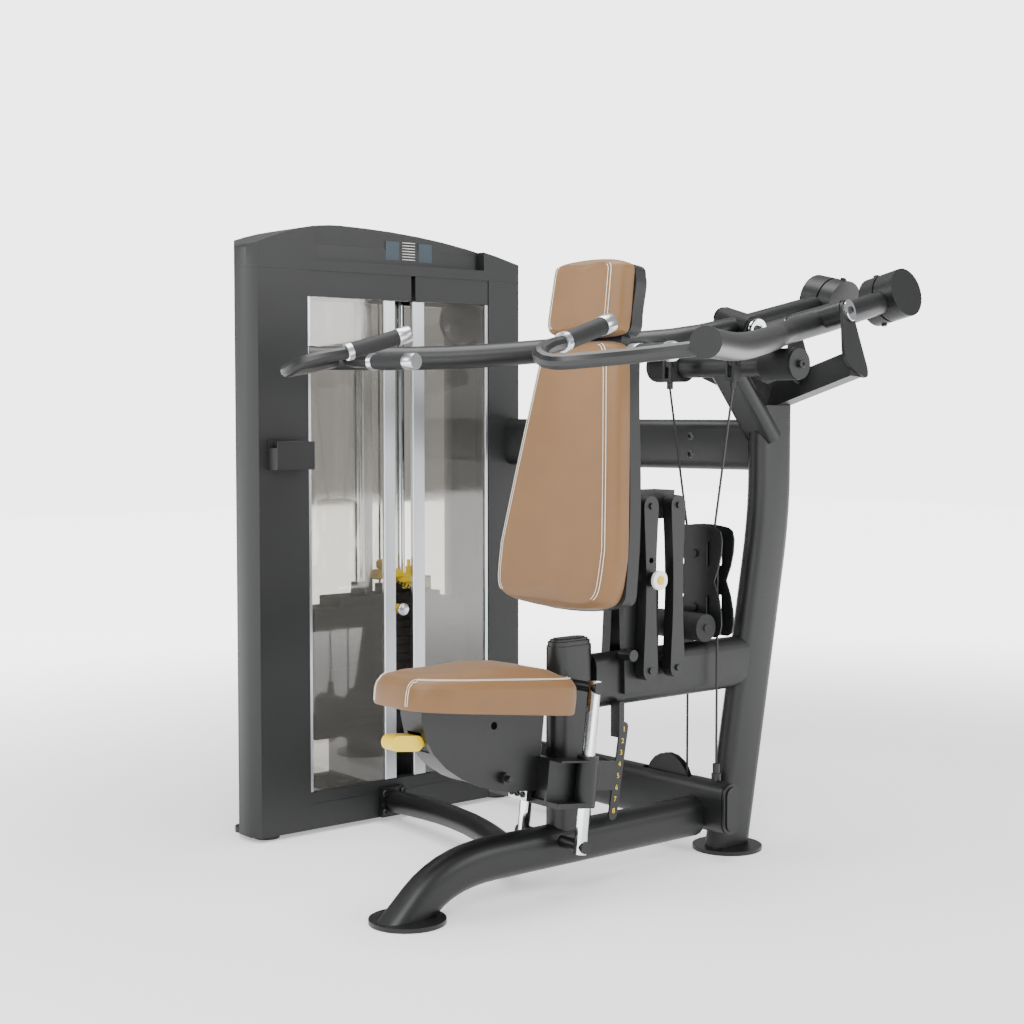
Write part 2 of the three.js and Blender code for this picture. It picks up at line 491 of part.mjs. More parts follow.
function buildCables() {
  const { x: turnX, z: turnZ, r: turnR } = CROSS_PULLEY, rise = [STACK.x, CABLE_Y];
  const baseX = STACK.x + BASE_PULLEY_R, runZ = turnZ - turnR, baseZ = runZ + BASE_PULLEY_R;
  const R = TOP_PULLEY_R, sideY = CABLE_Y - R, stackY = STACK.y + R;
  const slope = Math.atan2(STACK_PULLEY_Z - SIDE_PULLEY_Z, sideY - stackY);
  const dropX = turnX + turnR, lifted = BLOCK.low + 163, quarter = Math.PI / 2;
  const route = [
    v(dropX, CABLE_Y, lifted),
    ...turn([turnX, CABLE_Y, turnZ], turnR, EX, EZ, 0, -quarter),
    ...turn([baseX, CABLE_Y, baseZ], BASE_PULLEY_R, EX, EZ, -quarter, -2 * quarter),
    ...turn([rise[0], sideY, SIDE_PULLEY_Z], R, EY, EZ, 0, quarter - slope),
    ...turn([rise[0], stackY, STACK_PULLEY_Z], R, EY, EZ, quarter - slope, 2 * quarter),
    v(STACK.x, STACK.y, stackTop + STACK.plate + 10)];
  add(cables, 'stack_cable', hose(route, CABLE_R), MAT.cable);

  const anchorX = -dropX, tubeClear = slabX(oval(TUBE_SHORT + 2 * GAP, TUBE_LONG + 2 * GAP), -300, 300)
    .translate([0, CROSS_Y, CROSS_Z]);
  add(cables, 'anchor_cable', union(
    cut(rod([anchorX, CABLE_Y, 150], [anchorX, CABLE_Y, 212], 12, 14), tubeClear),
    rod([anchorX, CABLE_Y, 211], [anchorX, CABLE_Y, 236], 9, 16),
    rod([anchorX, CABLE_Y, 230], [anchorX, CABLE_Y, lifted], CABLE_R, 10)), MAT.cable);

  // The floating block: its low wheel carries the stack cable and its high wheel the arms' cable.
  const cheekShape = new THREE.Shape();
  const [cw, cx] = [92, 64], mid = (BLOCK.z0 + BLOCK.z1) / 2;
  cheekShape.moveTo(-cw + 22, BLOCK.z0);
  cheekShape.lineTo(cw - 22, BLOCK.z0);
  cheekShape.bezierCurveTo(cw + 8, BLOCK.z0, cw + 2, mid - 60, cx, mid);
  cheekShape.bezierCurveTo(cw + 2, mid + 60, cw + 8, BLOCK.z1 - 6, cw - 22, BLOCK.z1 - 6);
  cheekShape.quadraticCurveTo(0, BLOCK.z1 + 6, -cw + 22, BLOCK.z1 - 6);
  cheekShape.bezierCurveTo(-cw - 8, BLOCK.z1 - 6, -cw - 2, mid + 60, -cx, mid);
  cheekShape.bezierCurveTo(-cw - 2, mid - 60, -cw - 8, BLOCK.z0, -cw + 22, BLOCK.z0);
  const slots = [BLOCK.low, BLOCK.high].flatMap((z) => [-1, 1].map((s) =>
    slabY(oval(11, 62), -140, -60, 3).translate([s * 44, 0, z])));
  const cheek = (y0, y1) => cut(slabY(cheekShape, y0, y1, 5), ...slots);
  const axle = (z) => union(rod([0, -126, z], [0, -71, z], 5.6, 16), rod([0, -128, z], [0, -122, z], 10, 6),
    rod([0, -76.5, z], [0, -70, z], 10, 6));
  add(cables, 'floating_block', union(cheek(-122.5, -118.5), cheek(-80, -76), axle(BLOCK.low), axle(BLOCK.high)),
    MAT.frame);
  add(cables, 'block_low_pulley', pulley([0, CABLE_Y, BLOCK.low], [0, 1, 0], 50, BLOCK.lowR + 3, 7), MAT.black);
  // The arms' cable lies round the lower half of the high wheel.
  add(cables, 'block_high_pulley', union(pulley([0, ARM_CABLE_Y, BLOCK.high], [0, 1, 0], 41, BLOCK.highR + 2, 6),
    hose([v(41, ARM_CABLE_Y, BLOCK.high + CABLE_STUB), ...turn([0, ARM_CABLE_Y, BLOCK.high], 39.6, EX, EZ, -0.06,
      -Math.PI + 0.06, 10), v(-41, ARM_CABLE_Y, BLOCK.high + CABLE_STUB)], CABLE_R + 0.2)), MAT.black);
  const fixedPulleys = [
    ['cross_tube_pulley', [turnX, CABLE_Y, turnZ], [0, 1, 0], turnR, 76],
    ['tower_base_pulley', [baseX, CABLE_Y, baseZ], [0, 1, 0], BASE_PULLEY_R, BASE_PULLEY_R + 6],
    ['tower_side_pulley', [STACK.x, sideY, SIDE_PULLEY_Z], [1, 0, 0], R, R + 6],
    ['tower_stack_pulley', [STACK.x, stackY, STACK_PULLEY_Z], [1, 0, 0], R, R + 6]];
  fixedPulleys.forEach(([name, centre, axis, r, flange]) =>
    add(cables, name, pulley(centre, axis, r, flange, 9), MAT.black));

  const bumper = union(
    rod([-80, -166, 582], [80, -166, 582], 34, 22), rod([-84, -166, 582], [84, -166, 582], 9, 12));
  const saddle = box(-18, 18, -190, -142, 541, 560);
  const beamClear = slabY(oval(TUBE_SHORT + 2 * GAP, TUBE_LONG + 2 * GAP), -300, 0).translate([0, 0, BEAM_Z]);
  add(cables, 'block_bumper', cut(union(bumper, saddle), beamClear), MAT.rubber);
}

// ---------------------------------------------------------------- seat, in the frame of its tilted guide rods
const toSeat = new THREE.Matrix4().compose(v(...SEAT_ORIGIN),
  new THREE.Quaternion().setFromEuler(new THREE.Euler(SEAT_TILT, 0, 0)), v(1, 1, 1)).invert();
const seatLocal = (body) => solid(place(geometryOf(body), toSeat));

function buildSeat() {
  const barClear = [[-552, 478, 14], [-592, 118, 14]].map(([y, z, r]) =>
    seatLocal(rod([-130, y, z], [130, y, z], r + GAP, 14)));
  const rodX = 100, rodR = 15;
  addPair(seat, 'seat_rod', cut(rod([rodX, 0, -200], [rodX, 0, 196], rodR, 16), ...barClear), MAT.chrome);

  // Carriage: bearing sleeves on the rods, a bracket in front of the post, and the support under the seat.
  const sleeves = [-1, 1].map((s) => union(rod([s * rodX, 0, -92], [s * rodX, 0, 24], 25, 18),
    box(Math.min(s * 80, s * 122), Math.max(s * 80, s * 122), -100, -10, 12, 16),
    box(Math.min(s * 80, s * 122), Math.max(s * 80, s * 122), -100, -10, -92, -80),
    box(Math.min(s * 74, s * 82), Math.max(s * 74, s * 82), -100, -8, -92, 16)));
  const plates = union(box(-122, 122, -100, -78, -92, -80), box(-122, 122, -100, -78, 12, 16),
    box(-82, 82, -92, -80, -92, 16));
  const bores = [-1, 1].map((s) => rod([s * rodX, 0, -110], [s * rodX, 0, 60], rodR + GAP, 16));
  const postClear = seatLocal(slabZ(oval(TUBE_SHORT + 6, 126), 0, 600).translate([0, SEAT_POST_Y, 0]));
  const side = new THREE.Shape();
  side.moveTo(-90, 115);
  side.lineTo(-440, 115);
  side.lineTo(-440, 100);
  side.bezierCurveTo(-420, 10, -330, -48, -190, -64);
  side.lineTo(-90, -64);
  side.closePath();
  const inner = new THREE.Shape();
  inner.moveTo(-60, 106);
  inner.lineTo(-430, 106);
  inner.bezierCurveTo(-404, 20, -320, -44, -190, -80);
  inner.lineTo(-60, -80);
  inner.closePath();
  const leverSlot = box(-24, 24, -520, -392, 22, 66);
  const support = cut(union(cut(slabX(side, -38, 38, 6), slabX(inner, -34, 34, 6)),
    rod([34, -195, -32], [52, -195, -32], 13, 16), rod([50, -195, -32], [66, -195, -32], 8, 6)),
    rod([-60, -235, 84], [60, -235, 84], 9, 14), leverSlot);
  const board = slabZ(oval(150, 330), 114, 118 - GAP, 5).translate([0, -300, 0]);
  const block = union(box(-30, 30, -112, -98, -88, -36), ...[-18, 18].flatMap((x) => [-76, -48].map((z) =>
    rod([x, -111, z], [x, -116, z], 5, 8))));
  const pointer = union(box(76, 82, -84, 104, -60, 8), box(48, 82, 100, 105, -60, 8));
  add(seat, 'seat_carriage', cut(union(plates, ...sleeves, support, board, block, pointer), ...bores, postClear),
    MAT.frame);

  const lever = union(slabX(oval(84, 34), -20, 20, 6).translate([0, -456, 43]),
    box(-12, 12, -428, -404, 35, 51));
  add(seat, 'seat_lever', lever, MAT.yellow);

  const pad = new THREE.Shape();
  pad.moveTo(-112, -62);
  pad.quadraticCurveTo(-138, -62, -140, -92);
  pad.bezierCurveTo(-142, -210, -122, -330, -112, -420);
  pad.bezierCurveTo(-104, -486, -60, -502, 0, -503);
  pad.bezierCurveTo(60, -502, 104, -486, 112, -420);
  pad.bezierCurveTo(122, -330, 142, -210, 140, -92);
  pad.quadraticCurveTo(138, -62, 112, -62);
  pad.closePath();
  add(seat, 'seat_pad', slabZ(pad, 118, 205, 8), MAT.leather);
}

// ---------------------------------------------------------------- back pads, in the frame of the leaning pad face
function padOutline(z0, z1, w0, w1, crown, sag) {
  const s = new THREE.Shape(), r = 26;
  s.moveTo(-w0 + r, z0);
  s.quadraticCurveTo(0, z0 - sag, w0 - r, z0);
  s.quadraticCurveTo(w0 + 2, z0 + 4, w0, z0 + r + 4);
  s.bezierCurveTo(w0 - 8, z0 + (z1 - z0) * 0.45, w1 + 14, z0 + (z1 - z0) * 0.7, w1, z1 - r);
  s.quadraticCurveTo(w1 - 2, z1 - 2, w1 - r, z1);
  s.quadraticCurveTo(0, z1 + crown, -w1 + r, z1);
  s.quadraticCurveTo(-w1 + 2, z1 - 2, -w1, z1 - r);
  s.bezierCurveTo(-w1 - 14, z0 + (z1 - z0) * 0.7, -w0 + 8, z0 + (z1 - z0) * 0.45, -w0, z0 + r + 4);
  s.quadraticCurveTo(-w0 - 2, z0 + 4, -w0 + r, z0);
  return s;
}

function buildBack() {
  const thick = 58, shell = 34;
  const main = (grow) => padOutline(6 - grow, 598 + grow, 203 + grow, 128 + grow, 8, 46);
  const head = (grow) => padOutline(622 - grow, 784 + grow, 124 + grow, 118 + grow, 26, 12);
  add(back, 'back_pad', slabY(main(0), 0, thick, 7), MAT.leather);
  add(back, 'head_pad', slabY(head(0), 0, thick, 7), MAT.leather);
  const hull = union(slabY(main(2), thick + GAP, thick + shell, 7), slabY(head(2), thick + GAP, thick + shell, 7),
    box(-90, 90, thick + 8, thick + shell, 560, 660));
  // The carrier behind the shell joins it to the tops of both links.
  const profile = polygon([[-540, 690], [-470, 700], [-366, 850], [-226, 850], [-226, 918], [-380, 918],
    [-440, 1000], [-520, 1000]]);
  const toBack = new THREE.Matrix4().compose(v(...BACK_ORIGIN),
    new THREE.Quaternion().setFromEuler(new THREE.Euler(BACK_TILT, 0, 0)), v(1, 1, 1)).invert();
  const axles = [LINK.front, LINK.rear].map((y) => rod([-80, y, LINK.high], [80, y, LINK.high], 10.6, 14));
  const carrier = solid(place(geometryOf(cut(slabX(profile, -40, 30), ...axles)), toBack));
  const ahead = box(-300, 300, -300, thick + shell - 6, -300, 900);
  add(back, 'back_frame', union(hull, cut(carrier, ahead)), MAT.shroud);
}

// ---------------------------------------------------------------- parallelogram links that carry the back pad
function linkPlate(y, x0, x1, holes = []) {
  const { low, high, end, waist } = LINK, mid = (low + high) / 2, s = new THREE.Shape();
  s.absarc(y, high, end, -0.15, Math.PI + 0.15, false);
  s.bezierCurveTo(y - end + 2, high - 60, y - waist, mid + 90, y - waist, mid);
  s.bezierCurveTo(y - waist, mid - 90, y - end + 2, low + 60, y - end, low);
  s.absarc(y, low, end, Math.PI - 0.15, 2 * Math.PI + 0.15, false);
  s.bezierCurveTo(y + end - 2, low + 60, y + waist, mid - 90, y + waist, mid);
  s.bezierCurveTo(y + waist, mid + 90, y + end - 2, high - 60, y + end, high);
  return cut(slabX(s, x0, x1, 4), ...holes);
}

function linkBody(y, holes) {
  const { x0, x1, low, high } = LINK;
  const bolts = [low, high].flatMap((z) => [rod([-x1 - 5, y, z], [x1 + 5, y, z], 8, 6), rod([-x1, y, z], [x1, y, z], 10, 14)]);
  return union(linkPlate(y, x0, x1, holes), linkPlate(y, -x1, -x0, holes), ...bolts);
}

const PIN_Z = 711;

function buildLinks() {
  const bore = (z, r) => rod([-90, LINK.front, z], [90, LINK.front, z], r, 16);
  add(machine, 'front_link', linkBody(LINK.front, [bore(PIN_Z, 8.5), bore(756, 7)]), MAT.frame);
  add(machine, 'rear_link', linkBody(LINK.rear, []), MAT.frame);
  add(machine, 'range_pin', union(rod([30, LINK.front, PIN_Z], [76, LINK.front, PIN_Z], 8, 16),
    rod([75, LINK.front, PIN_Z], [98, LINK.front, PIN_Z], 14, 14),
    rod([97, LINK.front, PIN_Z], [105, LINK.front, PIN_Z], 23, 18)), MAT.white);
}

// Plate on the beam with the holes that the range pin drops into, and the stop roller beside it.
function lockSector() {
  const s = polygon([[-400, 440], [-290, 440], [-290, 700], [-306, 752], [-346, 770], [-390, 752], [-408, 700]]);
  const reach = PIN_Z - LINK.low, turns = [0, 2, 4, 6, 8].map((deg) => deg * Math.PI / 180);
  const [py, pz] = [(a) => LINK.front - reach * Math.sin(a), (a) => LINK.low + reach * Math.cos(a)];
  const holes = turns.map((a) => rod([20, py(a), pz(a)], [60, py(a), pz(a)], 9, 16));
  return union(cut(slabX(s, 28, 42), ...holes), rod([30, -398, 534], [70, -398, 534], 14, 14));
}

// Rule beside the seat carriage that shows the seat's height.
function heightRule() {
  const bodyOf = slabX(oval(26, 232), 46, 50, 8);
  const leaned = solid(geometryOf(bodyOf).rotateX(-10.1 * Math.PI / 180).translate(0, -427, 262));
  return union(leaned, box(20, 50, -425, -409, 340, 425));
}

// ---------------------------------------------------------------- press arms
const armRoute = (past = 0) => [...smooth([ARM_TIP, [498, -512, 1242], [361, -299, 1260], [225, -85, 1283],
  [160, 5, 1294], [129, 210, 1334]], 14), v(106 - 0.08 * past, 488 + past, 1399 + 0.23 * past)];
const WEIGHT_AXIS = new THREE.Vector3(0.975, 0.02, 0.22).normalize();
const WEIGHT_UP = v(-0.22, 0, 0.975).normalize();

const gripRuns = {
  outer: [[380, -900, 1244], [350, -739, 1291]],
  inner: [[522, -728, 1228], [368, -698, 1227]],
};

function gripPoint([a, b], distance) {
  const dir = v(...b).sub(v(...a)).normalize();
  return v(...a).addScaledVector(dir, distance).toArray();
}

function buildArms() {
  const mainTube = (grow = 0) => hose(armRoute(2 * grow), ARM_R + grow, 8);
  const hub = pivotRod(31, -HUB_HALF, HUB_HALF);
  const collar = 14, rubber = 122, cap = 34;
  const start = ([a, b], d) => v(...gripPoint([a, b], d));
  const outerEnd = start(gripRuns.outer, collar + rubber + 4), innerEnd = start(gripRuns.inner, collar + rubber - 16);
  const outerHandle = hose([outerEnd, ...smooth([gripPoint(gripRuns.outer, -8), [400, -955, 1233],
    [428, -1000, 1217], [452, -1006, 1206], [480, -1000, 1202], [510, -966, 1205], [575, -852, 1218],
    [645, -748, 1233]], 24)],
  HANDLE_R, 5);
  const innerHandle = hose([innerEnd, ...smooth([gripPoint(gripRuns.inner, -6), [575, -731, 1230],
    [636, -735, 1240]], 2)], HANDLE_R, 5);
  const [cx, cy, cz] = CLEVIS;
  const horn = union(rod([230, -92, 1280], [cx, cy, cz + 40], 11, 12), rod([cx - 5, cy, cz], [cx + 5, cy, cz], 11, 16),
    box(cx - 5, cx + 5, cy - 11, cy + 11, cz, cz + 42));
  const pinBore = rod([cx - 20, cy, cz], [cx + 20, cy, cz], 6.4, 12);
  const shaftBore = pivotRod(13.6, -HUB_HALF - 5, HUB_HALF + 5);
  const tipAxis = v(182, -285, -3).normalize();
  const plug = rod(v(...ARM_TIP).addScaledVector(tipAxis, -4).toArray(),
    v(...ARM_TIP).addScaledVector(tipAxis, 8).toArray(), ARM_R + 2, 16);
  // Each grip sits between an aluminium collar and a flush end cap.
  const fittings = Object.entries(gripRuns).flatMap(([name, run]) => {
    const end = collar + (name === 'outer' ? rubber : rubber - 20);
    return [rod(gripPoint(run, 0), gripPoint(run, collar), GRIP_R + 1.5, 16),
      rod(gripPoint(run, end + GAP), gripPoint(run, end + cap), GRIP_R + 1, 16)];
  });
  const tube = cut(mainTube(), ...[-1, 1].map((s) => pivotSlab(circle(90), s > 0 ? HUB_HALF : -120,
    s > 0 ? 120 : -HUB_HALF)));
  const body = cut(union(tube, hub, outerHandle, innerHandle, horn, plug, ...fittings), shaftBore, pinBore);
  addPair(arms, 'press_arm', body, MAT.frame);

  const weightEnd = (d) => v(...WEIGHT_CENTRE).addScaledVector(WEIGHT_AXIS, d).toArray();
  const clampGap = cut(rod(weightEnd(-6), weightEnd(0), 80, 22), rod(weightEnd(-7), weightEnd(1), 60, 22));
  const weight = cut(rod(weightEnd(-50), weightEnd(57), 64, 28), clampGap, mainTube(0.8));
  const bolt = (lift) => {
    const root = v(...weightEnd(-29)).addScaledVector(WEIGHT_UP, lift * 60);
    return rod(root.toArray(), root.clone().addScaledVector(WEIGHT_UP, lift * 9).toArray(), 8, 10);
  };
  addPair(arms, 'counterweight', union(weight, bolt(1), bolt(-1)), MAT.frame);

  const cheeks = HUB_HALF + 0.5 + YOKE_PLATE + GAP;
  addPair(arms, 'pivot_shaft', union(pivotRod(12.5, -cheeks - 5, cheeks + 5), pivotRod(21, cheeks, cheeks + 5),
    pivotRod(21, -cheeks - 5, -cheeks)), MAT.chrome);

  Object.entries(gripRuns).forEach(([name, run]) => {
    const length = name === 'outer' ? rubber : rubber - 20;
    addPair(arms, `${name}_grip`, ring(gripPoint(run, collar + GAP), gripPoint(run, collar + length), GRIP_R,
      HANDLE_R + 2 * GAP, 16), MAT.rubber);
  });

  // Clevis and the arm's cable down to the high wheel of the floating block.
  const [x, y, z] = CLEVIS;
  const foot = [41, ARM_CABLE_Y, BLOCK.high + CABLE_STUB + 1];
  const fork = union(box(x - 14, x - 7, y - 12, y + 12, z - 34, z + 12), box(x + 7, x + 14, y - 12, y + 12, z - 34, z + 12),
    box(x - 14, x + 14, y - 12, y + 12, z - 42, z - 33), rod([x - 17, y, z], [x + 17, y, z], 5, 16),
    rod([x, y, z - 60], [x, y, z - 41], 8, 16));
  addPair(arms, 'arm_cable', union(fork, rod([x, y, z - 58], foot, CABLE_R, 10)), MAT.cable);
}

buildFrame();
buildTower();
buildStack();
buildCables();
buildSeat();
buildBack();
buildLinks();
buildArms();

export default machine;
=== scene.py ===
"""Looks for a shoulder press machine: finishes, upholstery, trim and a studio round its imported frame.

Metres, +Z up. The origin is on the floor under the rear post, +X is the seated user's left and -Y is the way
the user faces. The frame's parts stay where they are; every new piece is a surface worked out with numpy.
"""

import json
import math

import bmesh
import bpy
import numpy as np
from bpy.props import FloatProperty, FloatVectorProperty, IntProperty, PointerProperty
from mathutils import Euler, Matrix, Vector


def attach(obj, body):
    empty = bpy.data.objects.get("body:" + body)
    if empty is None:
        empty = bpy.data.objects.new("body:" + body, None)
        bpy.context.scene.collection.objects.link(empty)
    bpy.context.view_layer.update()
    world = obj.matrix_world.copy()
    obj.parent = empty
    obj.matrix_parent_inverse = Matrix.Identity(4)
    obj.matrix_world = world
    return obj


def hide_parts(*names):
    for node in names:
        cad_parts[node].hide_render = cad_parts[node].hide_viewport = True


bl_info = {
    "name": "Shoulder Press Machine",
    "version": (1, 0, 0),
    "blender": (4, 5, 0),
    "location": "View3D > Sidebar > Shoulder Press",
    "description": "Builds the finishes and soft parts of a weight-stack shoulder press machine",
    "category": "Add Mesh",
}

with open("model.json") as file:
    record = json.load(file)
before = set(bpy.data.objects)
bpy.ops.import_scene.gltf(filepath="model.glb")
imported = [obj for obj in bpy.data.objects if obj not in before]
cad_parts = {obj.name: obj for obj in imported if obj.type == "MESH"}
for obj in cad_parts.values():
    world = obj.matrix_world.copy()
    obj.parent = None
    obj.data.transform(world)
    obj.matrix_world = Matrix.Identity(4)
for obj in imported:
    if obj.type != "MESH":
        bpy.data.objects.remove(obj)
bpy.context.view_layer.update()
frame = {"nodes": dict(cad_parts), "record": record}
NODES = frame["nodes"]
MM = 0.001

# ------------------------------------------------------------------ driving dimensions
SEAT_TILT, SEAT_ORIGIN = math.radians(-6.64), (0.0, -0.572, 0.300)
BACK_TILT, BACK_ORIGIN = math.radians(-8.53), (0.0, -0.616, 0.677)
SEAT_FRONT, SEAT_REAR, SEAT_BASE = -0.503, -0.062, 0.118
SEAT_FRONT_HALF, SEAT_REAR_HALF = 0.100, 0.141
PIVOT_AXIS = np.array([0.9455, 0.2399, 0.2208]) / np.linalg.norm([0.9455, 0.2399, 0.2208])
PIVOT = np.array([0.1353, 0.178, 1.3376])
OUTER_GRIP = (np.array([0.380, -0.900, 1.244]), np.array([0.350, -0.739, 1.291]))
INNER_GRIP = (np.array([0.522, -0.728, 1.228]), np.array([0.368, -0.698, 1.227]))
TOWER_FRONT, TOWER_BACK = -0.792, -1.000
WINDOW_Y, WINDOW_Z = (-0.735, -0.135), (0.110, 1.403)
STACK_X, STACK_Y, STACK_LOW, PLATE, PLATES = -0.900, -0.436, 0.236, 0.0231, 14
STACK_FRONT = STACK_X + 0.060
PIN_HEAD = (-0.7965, STACK_Y, 0.571)
PLUNGER_Y, PLUNGER_Z = -0.346, 0.711
SHAFT_END = 0.0840
BEARING_FACE = -0.1168
LANYARD_TURNS = 17
EAST = np.array([1.0, 0.0, 0.0])
TRAY_FACE = TOWER_FRONT + 0.0462
PLACARD_FACE = TOWER_FRONT - 0.0268

# Powers that square off the seat's circle, and the front seam's height as a share of the rear's.
SEAT_FRONT_POWER, SEAT_REAR_POWER, SEAT_FRONT_SHARE = 0.46, 0.26, 0.80
# The seat's side as (inset, height) steps: the low ones stand on its base, the high ones hang from its seam.
SEAT_RIM_LOW = ((0.010, 0.0), (0.004, 0.0006), (0.0008, 0.004), (0.0, 0.010), (-0.0008, 0.034))
SEAT_RIM_HIGH = ((0.0, -0.030), (0.0022, -0.018), (0.0035, -0.0166), (0.0050, -0.0150), (0.0110, -0.0062),
                 (0.0180, -0.0008), (0.0200, -0.0014), (0.0216, 0.0))
# Back pads: piece, its plain solid, (low, high, low half-width, high half-width, crown, sag), spine reach.
BACK_PADS = (("back_cushion", "back_pad", (0.006, 0.598, 0.203, 0.131, 0.006, 0.026), 0.30),
             ("head_cushion", "head_pad", (0.622, 0.782, 0.125, 0.119, 0.016, 0.010), 0.05))
BACK_DEPTH = 0.058
BACK_RIM = ((0.006, 0.0003), (0.001, 0.001), (0.0, 0.004), (0.0, 0.018), (0.0015, 0.029), (0.0045, 0.036),
            (0.014, 0.0465), (0.0235, 0.0543), (0.0262, 0.0556), (0.0272, 0.0546), (0.0282, 0.0556))
BACK_THREADS = ((0.0232, 0.0552), (0.0312, 0.0566))

# The darker patches of the two colours a user may change, as shares of each linear channel.
FRAME_SHADE, TAN_SHADE = (0.655, 0.655, 0.655), (0.767, 0.736, 0.714)
# Area lights: name, place, size and share of the key light's power, all aimed at one point.
LIGHTS = (("key", (3.2, -3.8, 3.9), 2.6, 1.0), ("side", (3.9, 1.8, 2.2), 1.6, 0.30),
          ("left", (-3.0, -4.4, 2.8), 2.0, 0.35), ("top", (-0.3, -0.4, 4.4), 3.0, 0.9))
LIGHT_AIM, FLOOR_HALF = (-0.2, -0.3, 0.8), 14
# Sockets of a Mix node set to colour.
MIX_A, MIX_B, MIX_RESULT = 6, 7, 2


# ------------------------------------------------------------------ colour and nodes
def linear(code):
    """An sRGB hex colour as linear RGBA: above the toe, c becomes ((c + 0.055) / 1.055) ** 2.4."""
    channels = [int(code[i:i + 2], 16) / 255 for i in (1, 3, 5)]
    return tuple(c / 12.92 if c <= 0.04045 else ((c + 0.055) / 1.055) ** 2.4 for c in channels) + (1.0,)


def hex_of(color):
    """A linear colour as an sRGB hex code."""
    curve = [12.92 * c if c <= 0.0031308 else 1.055 * c ** (1 / 2.4) - 0.055 for c in color]
    return "#" + "".join(f"{round(255 * min(max(c, 0), 1)):02x}" for c in curve)


def shades(color, share):
    """The hex codes of a linear colour's darker patches and of the colour itself."""
    return hex_of([c * part for c, part in zip(color, share)]), hex_of(color)


def add_node(tree, kind, links=(), **settings):
    """Adds one node: settings name its properties or its inputs, and links are (input, socket) pairs."""
    node = tree.nodes.new(kind)
    for key, value in settings.items():
        if hasattr(node, key):
            setattr(node, key, value)
        else:
            node.inputs[key.replace("_", " ")].default_value = value
    for name, socket in links:
        tree.links.new(socket, node.inputs[name])
    return node


def start_material(name, color, **sockets):
    """A new material with one Principled shader whose uniform values sit on its own sockets."""
    mat = bpy.data.materials.new(name)
    mat.use_nodes = True
    shader = mat.node_tree.nodes["Principled BSDF"]
    shader.inputs["Base Color"].default_value = linear(color)
    for key, value in sockets.items():
        shader.inputs[key.replace("_", " ")].default_value = value
    mat.diffuse_color = linear(color)
    return mat, mat.node_tree, shader


def two_tone(tree, factor, first, second):
    """The colour socket of a mix that runs from the first colour to the second with the factor."""
    mix = add_node(tree, "ShaderNodeMix", [("Factor", factor)], data_type="RGBA")
    mix.inputs[MIX_A].default_value, mix.inputs[MIX_B].default_value = linear(first), linear(second)
    return mix.outputs[MIX_RESULT]


def grain(tree, shader, size_mm, height_mm, rough=None, tint=None, detail=3.0):
    """Noise of the given grain size lifts the surface, and may vary its roughness and colour."""
    place = add_node(tree, "ShaderNodeTexCoord")
    noise = add_node(tree, "ShaderNodeTexNoise", [("Vector", place.outputs["Object"])],
                     Scale=1 / (size_mm * MM), Detail=detail, Roughness=0.55)
    bump = add_node(tree, "ShaderNodeBump", [("Height", noise.outputs["Fac"])],
                    Strength=0.6, Distance=height_mm * MM)
    tree.links.new(bump.outputs["Normal"], shader.inputs["Normal"])
    if rough:
        spread = add_node(tree, "ShaderNodeMapRange", [("Value", noise.outputs["Fac"])],
                          From_Min=0.3, From_Max=0.7, To_Min=rough[0], To_Max=rough[1])
        tree.links.new(spread.outputs["Result"], shader.inputs["Roughness"])
    if tint:
        broad = add_node(tree, "ShaderNodeTexNoise", [("Vector", place.outputs["Object"])],
                         Scale=9.0, Detail=2.0)
        tree.links.new(two_tone(tree, broad.outputs["Fac"], *tint), shader.inputs["Base Color"])
    return place


def grained(name, color, size_mm, height_mm, rough, tint=None, detail=3.0, **sockets):
    """A finish with one grain, the roughness it ranges over, and uniform values on the shader's sockets."""
    mat, tree, shader = start_material(name, color, **sockets)
    grain(tree, shader, size_mm, height_mm, rough, tint, detail)
    return mat


